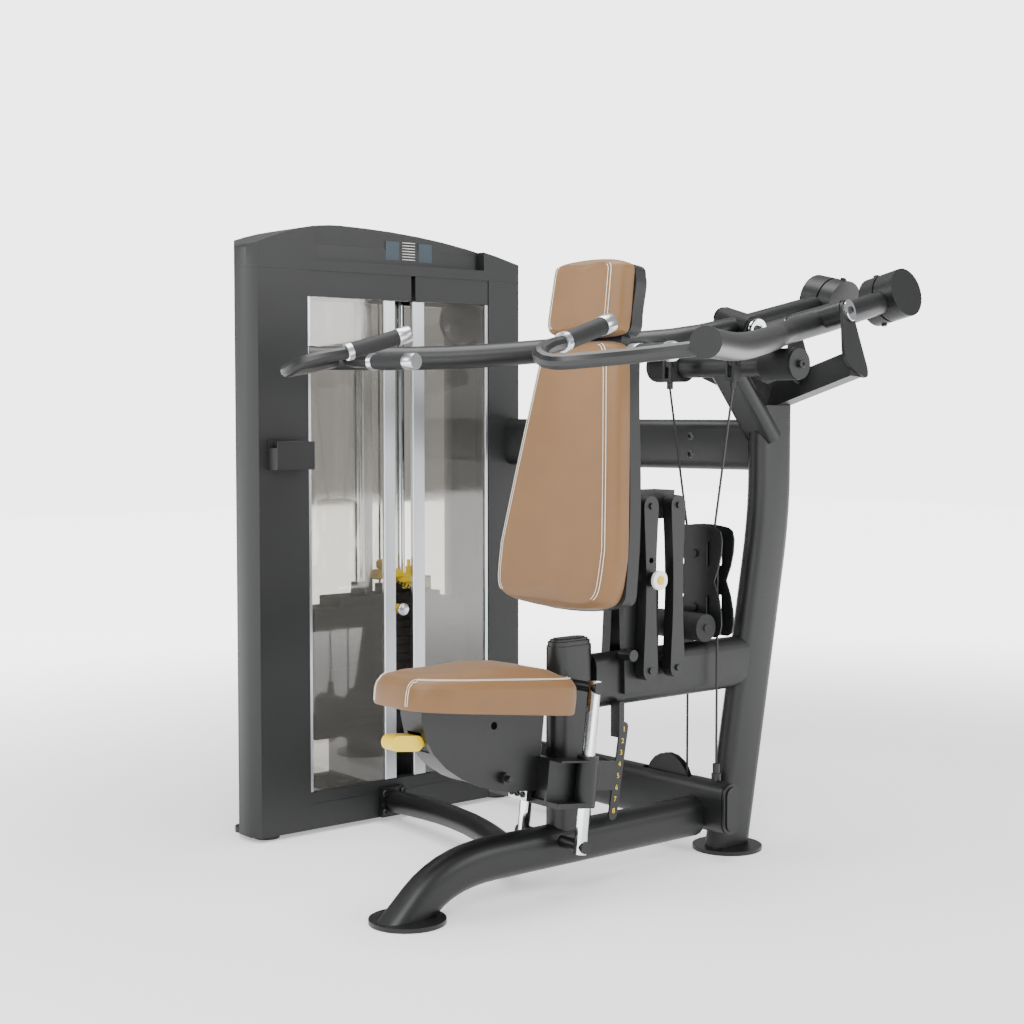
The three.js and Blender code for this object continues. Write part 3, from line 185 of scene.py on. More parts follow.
def make_materials(look):
    """Every finish of the machine, named for what the real one is made of."""
    painted = shades(look.frame_color, FRAME_SHADE)
    return {
        # Epoxy powder coat on steel tube: an even satin with the faint orange peel of baked powder.
        "frame_paint": grained("satin_powder_coat", painted[1], 2.2, 0.035, (0.36, 0.46), painted, IOR=1.5),
        # Thermoformed ABS shroud: fine moulded texture that scatters highlights.
        "tower_shroud": grained("moulded_abs_shroud", "#161718", 0.9, 0.02, (0.46, 0.56),
                                ("#141516", "#18191a"), IOR=1.53),
        # Injection-moulded nylon: near black and a little glossier than the shroud.
        "black_plastic": grained("moulded_nylon", "#0c0d0e", 1.1, 0.02, (0.38, 0.5), IOR=1.53),
        # Extruded rubber sleeve: dull, with a fine pebbled skin.
        "black_rubber": grained("extruded_rubber", "#0f1011", 1.4, 0.06, (0.6, 0.75), IOR=1.52),
        # Hard chrome on ground steel rod: mirror bright with the slightest haze.
        "chrome": grained("hard_chrome", "#d9dbde", 18.0, 0.004, (0.06, 0.12), Metallic=1.0),
        # Turned aluminium, clear anodised: soft grey metal with a fine even tooth.
        "aluminium": grained("turned_aluminium", "#c8cbce", 0.8, 0.01, (0.24, 0.36), detail=5.0, Metallic=1.0),
        # Painted cast iron plates: brownish black with the pits of a sand casting.
        "stack_iron": grained("painted_cast_iron", "#1c1916", 1.6, 0.09, (0.5, 0.66), ("#1a1714", "#201d1a"),
                              IOR=1.5),
        # Gloss polypropylene levers: saturated yellow, slightly waxy.
        "yellow": grained("gloss_yellow_polypropylene", "#e2c021", 1.8, 0.012, (0.26, 0.36), IOR=1.49),
        # White acetal knob: clean and semi-gloss.
        "white_plastic": grained("white_acetal", "#f1f1ee", 2.0, 0.01, (0.25, 0.34), IOR=1.48),
        # Polycarbonate shield: clear with a faint smoke tint.
        "clear_shield": grained("smoked_polycarbonate", "#d8d5cf", 60.0, 0.003, (0.02, 0.05), IOR=1.58,
                                Transmission_Weight=0.94),
        # Nylon jacket over steel rope: black with a fine ripple.
        "cable": grained("nylon_jacket", "#101113", 1.2, 0.03, (0.4, 0.52), IOR=1.53),
        # Bonded polyester thread, off-white and slightly fuzzy.
        "thread": grained("polyester_thread", "#eee9dd", 0.4, 0.05, (0.6, 0.75), IOR=1.5, Sheen_Weight=0.3),
        # Blank label film: matt off-white vinyl.
        "label": grained("matt_vinyl", "#c4c2bd", 3.0, 0.005, (0.45, 0.55), IOR=1.5),
        # Printed panel ink: flat grey-blue.
        "steel_blue": grained("screen_printed_ink", "#2c3942", 3.0, 0.004, (0.45, 0.55), IOR=1.5),
        "upholstery": make_leather(look),
    }


def make_leather(look):
    """Coated upholstery vinyl with a pressed hide grain: cells about 2 mm across, parted by shallow creases."""
    worn, fresh = shades(look.tan_color, TAN_SHADE)
    mat, tree, shader = start_material("grained_upholstery_vinyl", fresh, IOR=1.5, Sheen_Weight=0.12,
                                       Sheen_Roughness=0.45)
    place = add_node(tree, "ShaderNodeTexCoord")
    cells = add_node(tree, "ShaderNodeTexVoronoi", [("Vector", place.outputs["Object"])],
                     feature="DISTANCE_TO_EDGE", Scale=1 / (1.9 * MM), Randomness=1.0)
    creases = add_node(tree, "ShaderNodeMapRange", [("Value", cells.outputs["Distance"])], From_Max=0.25)
    broad = add_node(tree, "ShaderNodeTexNoise", [("Vector", place.outputs["Object"])], Scale=14.0, Detail=4.0)
    tree.links.new(two_tone(tree, broad.outputs["Fac"], worn, fresh), shader.inputs["Base Color"])
    soft = add_node(tree, "ShaderNodeMapRange", [("Value", broad.outputs["Fac"])], To_Min=0.44, To_Max=0.6)
    tree.links.new(soft.outputs["Result"], shader.inputs["Roughness"])
    bump = add_node(tree, "ShaderNodeBump", [("Height", creases.outputs["Result"])],
                    Strength=0.35, Distance=0.08 * MM)
    folds = add_node(tree, "ShaderNodeBump",
                     [("Height", broad.outputs["Fac"]), ("Normal", bump.outputs["Normal"])],
                     Strength=0.25, Distance=1.5 * MM)
    tree.links.new(folds.outputs["Normal"], shader.inputs["Normal"])
    return mat


MATERIALS = {}


# ------------------------------------------------------------------ surfaces
def grid_faces(rows, cols):
    """Quads of a rows x cols grid whose columns are joined round."""
    r, c = np.arange(rows - 1)[:, None], np.arange(cols)[None, :]
    r1, c1 = r + 1, (c + 1) % cols
    return np.stack([r * cols + c, r * cols + c1, r1 * cols + c1, r1 * cols + c], axis=-1).reshape(-1, 4)


def new_piece(name, parts, body, material, smooth=True):
    """One object from (points, faces) parts, riding on a body: doubled points merge and faces turn out."""
    offsets = np.cumsum([0] + [len(points) for points, _ in parts])
    points = np.concatenate([p for p, _ in parts])
    faces = np.concatenate([f + o for (_, f), o in zip(parts, offsets)])
    mesh = bpy.data.meshes.new(name)
    mesh.from_pydata(points.tolist(), [], faces.tolist())
    bm = bmesh.new()
    bm.from_mesh(mesh)
    bmesh.ops.remove_doubles(bm, verts=bm.verts, dist=1e-6)
    bmesh.ops.dissolve_degenerate(bm, edges=bm.edges, dist=1e-7)
    bmesh.ops.recalc_face_normals(bm, faces=bm.faces)
    bm.to_mesh(mesh)
    bm.free()
    mesh.polygons.foreach_set("use_smooth", np.full(len(mesh.polygons), smooth))
    piece = bpy.data.objects.new(name, mesh)
    bpy.context.scene.collection.objects.link(piece)
    mesh.materials.append(MATERIALS[material])
    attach(piece, body)
    return piece


def sharpen(piece, degrees=32.0):
    """Parts the shading at edges sharper than the given angle."""
    mod = piece.modifiers.new("crisp_edges", "EDGE_SPLIT")
    mod.split_angle = math.radians(degrees)


def frames_along(path):
    """Unit tangents of a path with two unit vectors square to each of them."""
    tangent = np.gradient(path, axis=0)
    tangent /= np.linalg.norm(tangent, axis=1, keepdims=True)
    flat = np.abs(tangent).mean(axis=0)
    guide = np.eye(3)[int(np.argmin(flat))]
    side = np.cross(np.broadcast_to(guide, tangent.shape), tangent)
    side /= np.linalg.norm(side, axis=1, keepdims=True)
    return tangent, side, np.cross(tangent, side)


def tube(path, radius, sides=10):
    """A round tube: each path point carries a circle, p + r (cos a side + sin a up), closed by flat fans."""
    path = np.asarray(path, float)
    radius = np.broadcast_to(np.asarray(radius, float), len(path))
    _, side, up = frames_along(path)
    a = np.linspace(0, 2 * np.pi, sides, endpoint=False)
    ring = np.cos(a)[None, :, None] * side[:, None, :] + np.sin(a)[None, :, None] * up[:, None, :]
    body = path[:, None, :] + radius[:, None, None] * ring
    ends = [np.repeat(path[i][None, None], sides, axis=1) for i in (0, -1)]
    points = np.concatenate([ends[0], body, ends[1]]).reshape(-1, 3)
    return points, grid_faces(len(path) + 2, sides)


def turned(profile, centre, axis, sides=32):
    """A turned solid: profile points (distance along the axis, radius) spin about the axis through centre."""
    profile = np.asarray(profile, float)
    axis = np.asarray(axis, float) / np.linalg.norm(axis)
    side = np.cross(axis, np.eye(3)[int(np.argmin(np.abs(axis)))])
    side /= np.linalg.norm(side)
    up = np.cross(axis, side)
    a = np.linspace(0, 2 * np.pi, sides, endpoint=False)
    ring = np.cos(a)[:, None] * side + np.sin(a)[:, None] * up
    points = (np.asarray(centre, float) + profile[:, 0, None, None] * axis
              + profile[:, 1, None, None] * ring[None]).reshape(-1, 3)
    return points, grid_faces(len(profile), sides)


def slab(low, high, bevel=0.0005):
    """A chamfered box: an eight-sided outline carried up through six levels, drawn to a point at both ends."""
    low, high = np.asarray(low, float), np.asarray(high, float)
    middle, half = (low + high) / 2, (high - low) / 2
    b = min(bevel, half.min() * 0.9)
    x, y = half[0], half[1]
    outline = np.array([[x, b - y], [x, y - b], [x - b, y], [b - x, y],
                        [-x, y - b], [-x, b - y], [b - x, -y], [x - b, -y]])
    shrink = np.array([0, 1 - b / half[:2].min(), 1, 1, 1 - b / half[:2].min(), 0])
    heights = np.array([-half[2], -half[2], b - half[2], half[2] - b, half[2], half[2]])
    points = np.concatenate([shrink[:, None, None] * outline[None],
                             np.broadcast_to(heights[:, None, None], (6, 8, 1))], axis=2).reshape(-1, 3)
    return points + middle, grid_faces(6, 8)


def mirror_x(part):
    """The same surface on the other side of the seat's middle plane."""
    points, faces = part
    return points * [-1, 1, 1], faces[:, ::-1]


def tilted(points, origin, tilt):
    """Points of a leaning part's own frame carried into the machine's frame."""
    turn = np.array(Euler((tilt, 0, 0)).to_matrix())
    return points @ turn.T + np.asarray(origin)


# ------------------------------------------------------------------ upholstery
def seat_run(y):
    """How far along the seat y lies, from 0 at its front to 1 at its rear."""
    return (y - SEAT_FRONT) / (SEAT_REAR - SEAT_FRONT)


def seat_outline(count=240):
    """The seat from above: a circle squared off by powers under one, its half-width growing towards the rear."""
    a = np.linspace(0, 2 * np.pi, count, endpoint=False)
    c, s = np.cos(a), np.sin(a)
    power = np.where(s < 0, SEAT_FRONT_POWER, SEAT_REAR_POWER)
    y = (SEAT_FRONT + SEAT_REAR) / 2 + (SEAT_REAR - SEAT_FRONT) / 2 * np.sign(s) * np.abs(s) ** power
    half = SEAT_FRONT_HALF + (SEAT_REAR_HALF - SEAT_FRONT_HALF) * seat_run(y) ** 0.8
    return np.column_stack([half * np.sign(c) * np.abs(c) ** power, y])


def seat_edge(y, thick):
    """Height of the seat's seam, which rises evenly from the front's share of the thickness to all of it."""
    return SEAT_BASE + thick * (SEAT_FRONT_SHARE + (1 - SEAT_FRONT_SHARE) * seat_run(y))


def pad_surface(outline, spine, rim, top, levels=16):
    """A stuffed pad: the outline is drawn in by each rim step, then the face closes on the spine.

    rim holds (inset, height) steps from the back edge round the side to the seam. The face runs from the last
    step to the spine, and its height is top(x, y, t), with t from 0 at the seam to 1 on the spine.
    """
    reach = spine - outline
    length = np.linalg.norm(reach, axis=1, keepdims=True)
    rings = [np.column_stack([spine, np.broadcast_to(rim[0][1], len(spine))])]
    for inset, height in rim:
        flat = outline + reach / length * inset
        rings.append(np.column_stack([flat, np.broadcast_to(height, len(flat))]))
    seam = rings[-1][:, :2]
    for t in (np.arange(1, levels + 1) / levels) ** 1.25:
        flat = seam + (spine - seam) * t
        rings.append(np.column_stack([flat, top(flat[:, 0], flat[:, 1], t)]))
    points = np.concatenate(rings)
    return points, grid_faces(len(rings), len(outline))


def stitches(path, pitch=0.0046, radius=0.00085, gap=0.24):
    """Thread through a path: the tube's radius dips to almost nothing between stitches of even pitch."""
    steps = np.linalg.norm(np.diff(path, axis=0), axis=1)
    run = np.concatenate([[0], np.cumsum(steps)])
    count = max(int(run[-1] / pitch), 2)
    at = np.arange(count * 6 + 1) / 6
    fine = np.column_stack([np.interp(at / count * run[-1], run, path[:, k]) for k in range(3)])
    phase = np.abs(((at + 0.5) % 1.0) - 0.5) * 2
    return tube(fine, radius * np.clip((1 - phase ** 4) / (1 - gap), 0.12, 1.0), sides=6)


def finish_pad(piece, node):
    """Gives a pad one subdivision and lets it stand for its plain solid."""
    mod = piece.modifiers.new("soft_surface", "SUBSURF")
    mod.levels = mod.render_levels = 1
    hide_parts(node)


def build_seat(look):
    """The seat: its rim climbs to a seam, and the top swells from the seam by a smooth step and a rear hump."""
    outline = seat_outline()
    middle, span = (SEAT_FRONT + SEAT_REAR) / 2, 0.12
    spine = np.column_stack([np.zeros(len(outline)), np.clip(outline[:, 1], middle - span, middle + span)])
    edge = seat_edge(outline[:, 1], look.seat_thickness)

    def top(x, y, t):
        hump = np.exp(-((seat_run(y) - 0.62) / 0.24) ** 2)
        ease = min(t * 2.2, 1.0)
        ease = ease * ease * (3 - 2 * ease)
        return seat_edge(y, look.seat_thickness) + 0.010 * ease + 0.016 * hump * ease

    rim = [(inset, SEAT_BASE + height) for inset, height in SEAT_RIM_LOW]
    rim += [(inset, edge + height) for inset, height in SEAT_RIM_HIGH]
    points, faces = pad_surface(outline, spine, rim, top)
    cover = new_piece("seat_cushion", [(tilted(points, SEAT_ORIGIN, SEAT_TILT), faces)], "seat", "upholstery")
    finish_pad(cover, "seat_pad")

    # The stitching runs forward along each side of the top, round the front corner and down its face.
    threads = []
    count = len(outline)
    right = np.arange(int(count * 0.19), -int(count * 0.163), -1)
    inward = (spine - outline) / np.linalg.norm(spine - outline, axis=1, keepdims=True)
    fall, run_down = np.linspace(0, 1, 40)[1:, None], np.linspace(0, 1, 30)[1:, None]
    for row in range(look.thread_rows):
        flat = outline + inward * (0.0150 + 0.0090 * row)
        side = np.column_stack([flat, edge + 0.0016 + 0.0016 * row])[right]
        corner = side[-1]
        front = np.array([corner[0] - 0.010, SEAT_FRONT + 0.012 + 0.004 * row, corner[2] - 0.016])
        guide = np.array([corner[0] - 0.004, front[1] + 0.010, corner[2]])
        bend = (1 - fall) ** 2 * corner + 2 * fall * (1 - fall) * guide + fall ** 2 * front
        drop = front + run_down * np.array([0.0, 0.0, SEAT_BASE + 0.012 - front[2]])
        line = shrink_onto(np.concatenate([side, bend, drop]), points)
        threads.append(stitches(tilted(line, SEAT_ORIGIN, SEAT_TILT)))
    new_piece("seat_stitching", threads + [mirror_x(part) for part in threads], "seat", "thread")


def shrink_onto(line, cloud, lift=0.0003):
    """Lays each point of a line on the surface: a weighted mean of its six nearest points."""
    centre = cloud.mean(axis=0)
    gap = np.linalg.norm(cloud[None] - line[:, None], axis=2)
    nearest = gap.argsort(axis=1)[:, :6]
    near = cloud[nearest]
    weight = 1 / (np.take_along_axis(gap, nearest, axis=1) + 5e-4) ** 2
    landed = (near * weight[:, :, None]).sum(axis=1) / weight.sum(axis=1, keepdims=True)
    kernel = np.array([1, 2, 3, 4, 3, 2, 1]) / 16
    padded = np.concatenate([np.repeat(landed[:1], 3, axis=0), landed, np.repeat(landed[-1:], 3, axis=0)])
    landed = np.stack([np.convolve(padded[:, k], kernel, "valid") for k in range(3)], axis=1)
    out = landed - centre
    return landed + lift * out / np.linalg.norm(out, axis=1, keepdims=True)


def back_outline(low, high, w_low, w_high, crown, sag, count=240):
    """A pad from the front: straight tapering sides, rounded corners, a crowned top and a sagging foot."""
    a = np.linspace(0, 2 * np.pi, count, endpoint=False)
    c, s = np.cos(a), np.sin(a)
    u = np.sign(c) * np.abs(c) ** 0.14
    w = np.sign(s) * np.abs(s) ** 0.14
    level = (w + 1) / 2
    half = np.interp(level, [0, 0.22, 1], [w_low - 0.002, w_low, w_high])
    bulge = crown * np.clip(w, 0, 1) ** 3 - sag * np.clip(-w, 0, 1) ** 3
    z = low + (high - low) * level + bulge * (1 - u ** 2)
    return np.column_stack([u * half, z])


def build_back(look):
    """The back and head pads: each rim climbs to a seam, and the face swells from it by a quarter sine."""
    for name, node, shape, span in BACK_PADS:
        low, high, _, half_high, _, _ = shape
        outline = back_outline(*shape)
        middle, reach = (low + high) / 2, min(span, (high - low) / 2 - 0.03)
        spine = np.column_stack([np.zeros(len(outline)), np.clip(outline[:, 1], middle - reach, middle + reach)])

        def top(x, z, t):
            return np.full(len(x), BACK_DEPTH - 0.003 + 0.007 * math.sin(t * math.pi / 2))

        points, faces = pad_surface(outline, spine, BACK_RIM, top)
        # The pad is drawn face on, then stood up: its depth runs forwards from the shell.
        upright = np.column_stack([points[:, 0], BACK_DEPTH - points[:, 2], points[:, 1]])
        cover = new_piece(name, [(tilted(upright, BACK_ORIGIN, BACK_TILT), faces)], "back_support", "upholstery")
        finish_pad(cover, node)
        # The stitching follows the long sides and stops short of the rounded ends.
        inward = spine - outline
        length = np.linalg.norm(inward, axis=1, keepdims=True)
        keep = (outline[:, 0] > 0.5 * half_high) & (np.abs(outline[:, 1] - middle) < (high - low) * 0.497)
        threads = []
        for inset, height in BACK_THREADS[:look.thread_rows]:
            side = (outline + inward / length * inset)[keep]
            side = side[np.argsort(side[:, 1])]
            line = np.column_stack([side[:, 0], np.full(len(side), BACK_DEPTH - height), side[:, 1]])
            threads.append(stitches(tilted(line, BACK_ORIGIN, BACK_TILT)))
        new_piece(name + "_stitching", threads + [mirror_x(part) for part in threads], "back_support", "thread")


# ------------------------------------------------------------------ metal trim
def dished_washer(centre, axis, radius, hole):
    """A chromed cup washer: a rounded rim that slopes gently down to the screw hole."""
    return turned([(0, 0), (0, radius), (0.0022, radius), (0.0036, radius - 0.0014), (0.0038, radius - 0.004),
                   (0.0026, hole + 0.002), (0.0022, 0)], centre, axis, 36)


def socket_screw(centre, axis, radius, height=0.006):
    """A round-headed socket screw: a domed head with a recess sunk in its top."""
    return turned([(0, 0), (0, radius), (height * 0.7, radius), (height, radius * 0.8), (height, radius * 0.48),
                   (height * 0.45, radius * 0.42), (height * 0.4, 0)], centre, axis, 24)


def crisp_piece(name, parts, body, material):
    """A turned piece whose edges are shaded sharp."""
    sharpen(new_piece(name, parts, body, material))


def build_grip_fittings():
    """Grip collars and end caps, turned in aluminium round the axis of each grip."""
    collar = [(-0.0006, 0), (-0.0006, 0.0192), (0.0004, 0.0209), (0.0136, 0.0209), (0.0144, 0.0197),
              (0.0144, 0.0159)]
    cap = [(0.0004, 0.0159), (0.0004, 0.0199), (0.0016, 0.0206), (0.03192, 0.0206), (0.034272, 0.0196),
           (0.034272, 0.0)]
    fittings = []
    for (a, b), rubber in ((OUTER_GRIP, 0.122), (INNER_GRIP, 0.102)):
        run = (b - a) / np.linalg.norm(b - a)
        fittings += [turned(collar, a, run), turned(cap, a + run * (0.014 + rubber), run)]
    crisp_piece("left_grip_fittings", fittings, "left_arm", "aluminium")
    crisp_piece("right_grip_fittings", [mirror_x(part) for part in fittings], "right_arm", "aluminium")


def build_pivot_fittings():
    """A dished washer with a black screw, turned round the pivot on both ends of each shaft."""
    ends = [(PIVOT + PIVOT_AXIS * end * SHAFT_END, PIVOT_AXIS * end) for end in (1, -1)]
    washers = [dished_washer(place, axis, 0.0275, 0.010) for place, axis in ends]
    screws = [socket_screw(place + axis * 0.002, axis, 0.0095, 0.0052) for place, axis in ends]
    for name, parts, material in (("pivot_washers", washers, "chrome"),
                                  ("pivot_screws", screws, "black_plastic")):
        crisp_piece(name, parts + [mirror_x(part) for part in parts], "frame", material)


def build_frame_screws():
    """Round-headed screws on the stop bar's ends, the bridge and the tower's foot."""
    heads = [socket_screw((side * 0.2482, -0.020, 1.220), EAST * side, 0.010) for side in (1, -1)]
    heads += [socket_screw((-0.060, -0.0784, z), (0, -1, 0), 0.009) for z in (1.000, 1.045)]
    heads += [socket_screw((TOWER_FRONT + 0.0165, y, z), EAST, 0.009) for y in (-0.510, -0.450)
              for z in (0.030, 0.080)]
    crisp_piece("frame_screws", heads, "frame", "black_plastic")


def build_bearing():
    """The bearing plate behind the seat, a chamfered box in the seat's leaning frame, and its four screws."""
    points, faces = slab((-0.031, BEARING_FACE, -0.089), (0.031, BEARING_FACE + 0.0046, -0.035), 0.0015)
    new_piece("bearing_plate", [(tilted(points, SEAT_ORIGIN, SEAT_TILT), faces)], "seat", "aluminium",
              smooth=False)
    outward = np.array(Euler((SEAT_TILT, 0, 0)).to_matrix()) @ np.array([0, -1.0, 0])
    spots = ((-0.019, -0.075), (0.019, -0.075), (0.0, -0.047), (0.0, -0.075))
    bolts = [socket_screw(tilted(np.array([x, BEARING_FACE, z]), SEAT_ORIGIN, SEAT_TILT), outward, 0.007, 0.004)
             for x, z in spots]
    new_piece("bearing_screws", bolts, "seat", "black_plastic")


def build_plunger():
    """A yellow button and a black collar, turned on the range pin's white disc."""
    button = [(0, 0), (0, 0.0105), (0.0022, 0.0105), (0.0034, 0.008), (0.0036, 0)]
    collar = [(0, 0.0145), (0, 0.0175), (0.018, 0.0175), (0.018, 0.0145), (0, 0.0145)]
    new_piece("plunger_button", [turned(button, (0.1051, PLUNGER_Y, PLUNGER_Z), EAST, 28)], "range_plunger",
              "yellow")
    new_piece("plunger_collar", [turned(collar, (0.0775, PLUNGER_Y, PLUNGER_Z), EAST, 28)], "range_plunger",
              "black_plastic")


def build_shields():
    """The clear sheets and their aluminium rails: flat chamfered boxes standing in the tower's windows."""
    z0, z1 = WINDOW_Z[0] + 0.0003, WINDOW_Z[1] - 0.0003
    y0, y1 = WINDOW_Y[0] + 0.0003, WINDOW_Y[1] - 0.0003
    front, back = TOWER_FRONT - 0.012, TOWER_BACK + 0.012
    # Node, its plane, the sheet's two edges, the rail's two edges, and the narrow strip at the window's edge.
    runs = (("front_shield", front, (y0, -0.4935), (-0.493, -0.455), (y0, y0 + 0.010)),
            ("access_shield", front, (-0.3565, y1), (-0.397, -0.357), (y1 - 0.010, y1)),
            ("rear_shield", back, (y0, y1), (-0.430, -0.402), None))
    for node, x, sheet_y, rail_y, strip_y in runs:
        box = slab((x, sheet_y[0], z0), (x + 0.004, sheet_y[1], z1), 0.0006)
        sheet = new_piece(node + "_sheet", [box], "frame", "clear_shield", smooth=False)
        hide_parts(node)
        rails = [slab((x - 0.005, rail_y[0], z0), (x + 0.009, rail_y[1], z1), 0.002)]
        if strip_y:
            rails.append(slab((x + 0.0045, strip_y[0], z0), (x + 0.009, strip_y[1], z1), 0.001))
        new_piece(node + "_rail", rails, "frame", "aluminium", smooth=False)


def letter_mesh(name, words, size, place, material):
    """Flat lettering that faces +X, as a thin mesh with its place carried into its points."""
    curve = bpy.data.curves.new(name, "FONT")
    curve.body, curve.size, curve.extrude = words, size, 0.0002
    curve.align_x = curve.align_y = "CENTER"
    holder = bpy.data.objects.new(name + "_text", curve)
    bpy.context.scene.collection.objects.link(holder)
    bpy.context.view_layer.update()
    mesh = bpy.data.meshes.new_from_object(holder)
    bpy.data.objects.remove(holder)
    mesh.transform(Matrix.Translation(Vector(place)) @ Euler((math.pi / 2, 0, math.pi / 2)).to_matrix().to_4x4())
    mesh.name = name
    mesh.materials.clear()
    mesh.materials.append(MATERIALS[material])
    return mesh


def join_meshes(name, meshes, body):
    """Several flat letter meshes as one piece."""
    bm = bmesh.new()
    for mesh in meshes:
        bm.from_mesh(mesh)
    joined = bpy.data.meshes.new(name)
    bm.to_mesh(joined)
    bm.free()
    joined.materials.append(meshes[0].materials[0])
    piece = bpy.data.objects.new(name, joined)
    bpy.context.scene.collection.objects.link(piece)
    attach(piece, body)


def build_numbers():
    """White plate numbers beside the pin holes, and yellow seat heights on the rule that leans with the rods."""
    digits = [letter_mesh(f"plate_{i}", str(PLATES + 1 - i), 0.0135,
                          (STACK_FRONT + 0.0004, STACK_Y - 0.026, STACK_LOW + (i + 0.5) * PLATE), "label")
              for i in range(PLATES)]
    join_meshes("plate_numbers", digits, "frame")
    lean = math.radians(-10.1)
    marks = []
    for i in range(8):
        along = 0.0985 - i * 0.0275
        place = (0.0504, -0.427 - along * math.sin(lean), 0.262 + along * math.cos(lean))
        marks.append(letter_mesh(f"height_{i + 1}", str(i + 1), 0.017, place, "yellow"))
    join_meshes("height_numbers", marks, "frame")


def build_stack_details():
    """The yellow add-on housing and the pin's rim and lanyard.

    The lanyard is a coil: its centre line hangs in a shallow sine arc and the cord winds round it.
    """
    housing = [slab((-0.884, -0.492, 0.6495), (-0.842, -0.392, 0.676), 0.006),
               slab((-0.876, -0.470, 0.6755), (-0.850, -0.440, 0.704), 0.006),
               slab((-0.880, -0.405, 0.630), (-0.846, -0.340, 0.660), 0.008)]
    new_piece("addon_housing", housing, "stack_lift", "yellow", smooth=False)
    rim = [(0, 0), (0, 0.0150), (0.003, 0.0165), (0.010, 0.0165), (0.0115, 0.0150), (0.0115, 0.0)]
    new_piece("pin_rim", [turned(rim, PIN_HEAD, EAST, 32)], "stack_pin", "aluminium")
    t = np.linspace(0, 1, 420)
    arc = np.column_stack([-0.832 + 0.03 * t, STACK_Y + 0.012 + 0.055 * np.sin(np.pi * t), 0.640 - 0.066 * t])
    wind = 2 * np.pi * LANYARD_TURNS * t
    coil = arc + 0.0052 * np.column_stack([np.cos(wind), 0.3 * np.sin(wind), np.sin(wind)])
    new_piece("pin_lanyard", [tube(coil, 0.0013, 6)], "stack_pin", "black_plastic")


def build_tower_panels():
    """The tray's front and the blank instruction placard: thin chamfered boxes on the tower's face."""
    tray = slab((TRAY_FACE, -0.8602, 0.960), (TRAY_FACE + 0.002, -0.7478, 1.031), 0.0008)
    new_piece("tray_front", [tray], "frame", "tower_shroud", smooth=False)
    x = PLACARD_FACE
    board = slab((x, -0.7095, 1.4985), (x + 0.0016, -0.1545, 1.540), 0.0004)
    new_piece("placard", [board], "frame", "black_plastic", smooth=False)
    panels = [slab((x + 0.0014, y0, z0), (x + 0.0021, y1, z1), 0.0003)
              for y0, y1, z0, z1 in ((-0.470, -0.425, 1.512, 1.562), (-0.360, -0.315, 1.510, 1.560))]
    rules = [slab((x + 0.0014, -0.415, z), (x + 0.0021, -0.372, z + 0.0022), 0.0003)
             for z in np.arange(1.514, 1.560, 0.0075)]
    new_piece("placard_panels", panels, "frame", "steel_blue", smooth=False)
    new_piece("placard_rules", rules, "frame", "label", smooth=False)


# ------------------------------------------------------------------ settings
class ShoulderPressLook(bpy.types.PropertyGroup):
    seat_thickness: FloatProperty(name="Seat thickness", description="Thickness of the seat cushion at its edge",
                                  default=0.084, min=0.05, max=0.12, unit="LENGTH")
    frame_color: FloatVectorProperty(name="Frame colour", description="Colour of the powder-coated frame",
                                     default=linear("#101112")[:3], size=3, subtype="COLOR", min=0, max=1)
    tan_color: FloatVectorProperty(name="Upholstery colour", description="Colour of the seat and back covers",
                                   default=linear("#78562f")[:3], size=3, subtype="COLOR", min=0, max=1)
    light_power: FloatProperty(name="Key light", description="Power of the large soft light", default=235.0,
                               min=0, unit="POWER")
    fill_light: FloatProperty(name="Fill light", default=0.5, min=0,
                              description="Brightness of the studio that surrounds the machine")
    backdrop: FloatProperty(name="Backdrop", default=4.0, min=0,
                            description="Brightness of the backdrop behind the machine")
    thread_rows: IntProperty(name="Stitch rows", description="Rows of stitching beside each seam", default=2,
                             min=1, max=2)


# ------------------------------------------------------------------ operators
class SHOULDERPRESS_OT_finishes(bpy.types.Operator):
    """Gives every frame part its finish and smooth shading on its round faces"""
    bl_idname = "shoulder_press.finishes"
    bl_label = "Frame finishes"

    def execute(self, context):
        MATERIALS.update(make_materials(context.scene.shoulder_press))
        slots = {part["node"]: part["material_slot"] for part in frame["record"]["subparts"]}
        for name, node in NODES.items():
            node.data.materials.clear()
            node.data.materials.append(MATERIALS[slots[name]])
            node.data.polygons.foreach_set("use_smooth", np.ones(len(node.data.polygons), bool))
            weld = node.modifiers.new("weld", "WELD")
            weld.merge_threshold = 2e-5
            sharpen(node, 34.0)
        return {"FINISHED"}


class SHOULDERPRESS_OT_seat(bpy.types.Operator):
    """Builds the crowned seat cushion and its stitching"""
    bl_idname = "shoulder_press.seat"
    bl_label = "Seat cushion"

    def execute(self, context):
        build_seat(context.scene.shoulder_press)
        return {"FINISHED"}


class SHOULDERPRESS_OT_back(bpy.types.Operator):
    """Builds the back and head cushions and their stitching"""
    bl_idname = "shoulder_press.back"
    bl_label = "Back cushions"

    def execute(self, context):
        build_back(context.scene.shoulder_press)
        return {"FINISHED"}


class SHOULDERPRESS_OT_trim(bpy.types.Operator):
    """Builds the grip fittings, pivot washers, screws, bearing plate and plunger knob"""
    bl_idname = "shoulder_press.trim"
    bl_label = "Metal trim"

    def execute(self, context):
        build_grip_fittings()
        build_pivot_fittings()
        build_frame_screws()
        build_bearing()
        build_plunger()
        return {"FINISHED"}


class SHOULDERPRESS_OT_tower(bpy.types.Operator):
    """Builds the clear shields with their rails, the numbers, the stack's details and the tower's panels"""
    bl_idname = "shoulder_press.tower"
    bl_label = "Tower shields and numbers"

    def execute(self, context):
        build_shields()
        build_numbers()
        build_stack_details()
        build_tower_panels()
        return {"FINISHED"}


